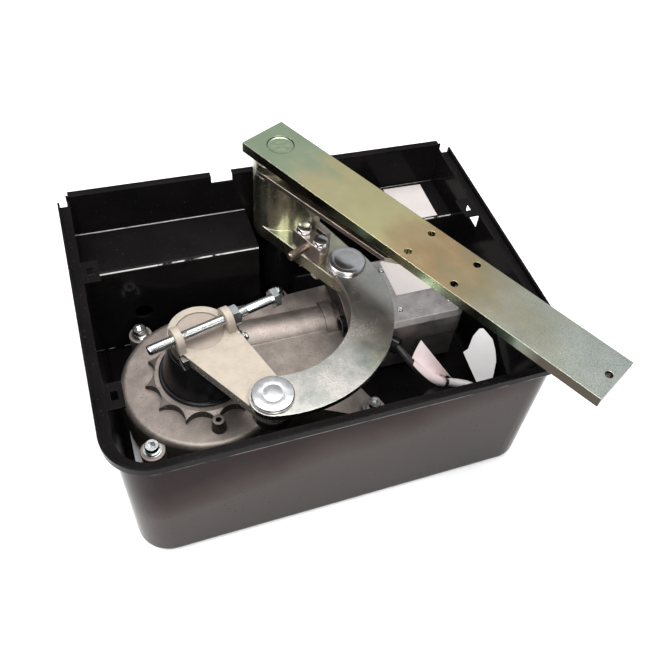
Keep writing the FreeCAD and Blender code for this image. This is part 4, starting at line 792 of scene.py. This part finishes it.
def stop_bolt():
    """Long bolt through the drive lever's ears, with its lock nut."""
    tip, thread_end, head_seat, head, nut = -49.4, 44, 69, 6.4, 8
    axis = ON_EARS @ above(STOP_REACH, 0, STOP_LEVEL) @ ALONG_Y
    shank = [(M10_CORE, thread_end - 1), (M10_SHANK, thread_end + 0.5), (M10_SHANK, head_seat + OVERLAP)]
    build("stop_bolt_detail", [
        (*thread_solid(*M10, tip, thread_end), axis),
        (*lathe(shank), axis),
        (*hex_solid(M10_FLATS, head), axis @ above(0, 0, head_seat))],
        "bolt_zinc", "stop", ["stop_bolt"])
    build("stop_nut_detail", [(*hex_solid(M10_FLATS, nut, both_ends=True), axis @ above(0, 0, NUT_SEAT))],
          "bolt_zinc", "crank", ["stop_lock_nut"])


def clamp_bolt():
    """Short bolt that draws the drive lever's ears together, with its nut."""
    head_seat, thread_start, tip = -22.5, 19, 36
    axis = ON_EARS @ above(CLAMP_REACH, 0, CLAMP_LEVEL) @ ALONG_Y
    head = axis @ above(0, 0, head_seat) @ Matrix.Rotation(math.pi, 4, "X")
    build("clamp_bolt_detail", [
        (*lathe([(M8_SHANK, head_seat - OVERLAP / 2), (M8_SHANK, thread_start + 1)]), axis),
        (*thread_solid(*M8, thread_start, tip), axis),
        (*hex_solid(M8_FLATS, M8_HEAD), head)], "bolt_zinc", "crank", ["clamp_bolt"])
    build("clamp_nut_detail", [(*hex_solid(M8_FLATS, M8_NUT, both_ends=True), axis @ above(0, 0, NUT_SEAT))],
          "bolt_zinc", "crank", ["clamp_nut"])


def lock_bolts():
    """Bolts of the lock block, heads up, with nuts below the gate lever."""
    tip, nut_seat, thread_end, head_seat = 108, 110.5, 134, 154
    bolts, nuts = [], []
    for reach in LOCK_BOLT_REACHES:
        place = ON_LEVER @ above(reach, LOCK_BOLT_SIDE)
        for solid in flange_head(M8_FLATS, M8_HEAD):
            bolts.append((*solid, place @ above(0, 0, head_seat)))
        bolts.append((*thread_solid(*M8, tip, thread_end), place))
        bolts.append((*lathe([(M8_SHANK, thread_end - 1), (M8_SHANK, head_seat + OVERLAP)]), place))
        nuts.append((*hex_solid(M8_FLATS, M8_NUT, both_ends=True), place @ above(0, 0, nut_seat)))
    build("lock_bolt_detail", bolts, "pin_zinc", "lever", ["lock_bolts"])
    build("lock_nut_detail", nuts, "bolt_zinc", "lever", ["lock_nuts"])


def mount_screws():
    """Screws of the gearbox, each at a distance and a bearing from the output shaft."""
    tip, shank, head_seat = 2.2, 3.9, 57.6
    screws = []
    for reach, bearing in MOUNT_SCREWS:
        place = frame_at(CRANK_AXIS, bearing) @ above(reach, 0)
        head = socket_head(radius=6.5, height=8, flats=6, depth=4)
        screws.append((*head, place @ above(0, 0, head_seat)))
        screws.append((*lathe([(shank, tip), (shank, head_seat + 2 * OVERLAP)], 24), place))
    build("mount_screw_detail", screws, "bolt_zinc", "box", ["mount_screws"])


def pin(name, node, body, placement, tail, seat, inner):
    """Pin with a wide turned head; inner is the radius of the groove in its top."""
    profile = [(PIN_RADIUS - 0.8, tail), (PIN_RADIUS, tail + 0.8), (PIN_RADIUS, seat),
               (PIN_HEAD_RADIUS - 0.4, seat), (PIN_HEAD_RADIUS, seat + 0.5), (PIN_HEAD_RADIUS, seat + 2.6),
               (PIN_HEAD_RADIUS - 0.8, seat + 3.5), (PIN_HEAD_RADIUS - 2.4, seat + 3.8),
               (inner + 1, seat + 4.1), (inner, seat + 3.9), (inner - 1, seat + 4.2),
               (inner * 0.4, seat + 4.4)]
    solid = (*lathe(profile, PIN_POINTS), placement @ above(CRANK_LENGTH, 0))
    build(name, [solid], "pin_zinc", body, [node], angle=30)


def arm_plug():
    """Plug of the bar, with a plain uneven dent."""
    def dented(share):
        ring = circle_ring(11.6 - 11 * share, PLUG_TOP, PIN_POINTS)
        for corner, turn in zip(ring, bearings(PIN_POINTS)):
            wave = math.sin(2 * turn + 5 * share) * math.cos(3 * turn - 4 * share)
            corner.z += DENT_DEPTH * MM * wave * min(1, 4 * share * (1 - share) + 0.15)
        return ring

    rings = [circle_ring(PLUG_RADIUS, PLUG_FOOT, PIN_POINTS),
             circle_ring(PLUG_RADIUS, PLUG_TOP - 0.1, PIN_POINTS),
             circle_ring(PLUG_RADIUS - 0.7, PLUG_TOP + 0.4, PIN_POINTS)]
    rings += [dented(step / PLUG_STEPS) for step in range(PLUG_STEPS + 1)]
    build("arm_plug_detail", [(*rings_solid(rings), above(*GATE_AXIS))], "yellow_zinc", "arm",
          ["arm_plug"], angle=30)


def motor_screws():
    head = socket_head(radius=3.2, height=1.8, flats=2.5, depth=1.2)
    screws = [(*head, above(x, y, top_of("motor_cover") - OVERLAP))
              for x in MOTOR_SCREWS_X for y in MOTOR_SCREWS_Y]
    build("motor_screws", screws, "bolt_zinc", "box")


def shelf_seams():
    """Pale line where each shelf meets the back wall."""
    strips = []
    for name in ("shelf_left", "shelf_right"):
        low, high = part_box(name)
        ring = [Vector((x, y, high.z)) for x, y in ((low.x, high.y - SEAM), (high.x, high.y - SEAM),
                                                    (high.x, high.y), (low.x, high.y))]
        strips.append((*rings_solid([ring, [corner + Z_AXIS * SEAM for corner in ring]]), HERE))
    build("shelf_seams", strips, "machined_steel", "box")


def fasteners():
    stop_bolt()
    clamp_bolt()
    lock_bolts()
    mount_screws()
    pin("crank_pin_detail", "crank_pin", "crank", ON_CRANK, tail=108.5, seat=138.8, inner=8.2)
    pin("link_pin_detail", "link_pin", "lever", ON_LEVER, tail=113.1, seat=138.4, inner=12.5)
    arm_plug()
    motor_screws()
    shelf_seams()


# Soft studio light on a white floor: lamps as name, place, size and power
SKY = [(0.0, (0.16, 0.16, 0.17)), (0.95, (0.80, 0.82, 0.85))]
LAMPS = [("top_light", (0.05, -0.05, 1.7), 1.5, 36), ("left_light", (-1.4, 0.1, 1.0), 0.8, 14),
         ("front_light", (-0.1, -1.2, 1.2), 0.8, 13)]
LAMP_TARGET = Vector((0, 0, 0.08))
FLOOR_HALF = 2.5


def add_sky():
    world = bpy.data.worlds.new("studio")
    bpy.context.scene.world = world
    world.use_nodes = True
    nodes, links = world.node_tree.nodes, world.node_tree.links
    rise = nodes.new("ShaderNodeSeparateXYZ")
    links.new(nodes.new("ShaderNodeTexCoord").outputs["Generated"], rise.inputs[0])
    sky = nodes.new("ShaderNodeValToRGB")
    links.new(rise.outputs["Z"], sky.inputs["Fac"])
    for element, (position, colour) in zip(sky.color_ramp.elements, SKY):
        element.position = position
        element.color = (*colour, 1)
    links.new(sky.outputs["Color"], nodes["Background"].inputs["Color"])


def add_lamps():
    for name, place, size, power in LAMPS:
        data = bpy.data.lights.new(name, "AREA")
        data.shape = "DISK"
        data.size = size
        data.energy = power
        lamp = add_to_scene(name, data)
        lamp.location = place
        lamp.rotation_euler = (LAMP_TARGET - Vector(place)).to_track_quat("-Z", "Y").to_euler()


def add_floor():
    corners = [(x * FLOOR_HALF, y * FLOOR_HALF, 0) for x, y in ((-1, -1), (1, -1), (1, 1), (-1, 1))]
    mesh = bpy.data.meshes.new("floor")
    mesh.from_pydata(corners, [], [(0, 1, 2, 3)])
    mesh.materials.append(surface("floor_white", [(0.3, (0.93, 0.93, 0.93)), (0.7, (0.96, 0.96, 0.96))],
                                  cloud=0.4, rough=(0.6, 0.8), grain=(0.004, 0.00002)))
    floor = add_to_scene("floor", mesh)


add_camera()
make_paints_and_zinc()
make_bare_metals()
make_plastics_and_papers()
lead_path = motor_lead()
paper_pieces(lead_path)
fasteners()
finish_nodes()
add_sky()
add_lamps()
add_floor()
bpy.context.scene.view_settings.view_transform = "Standard"
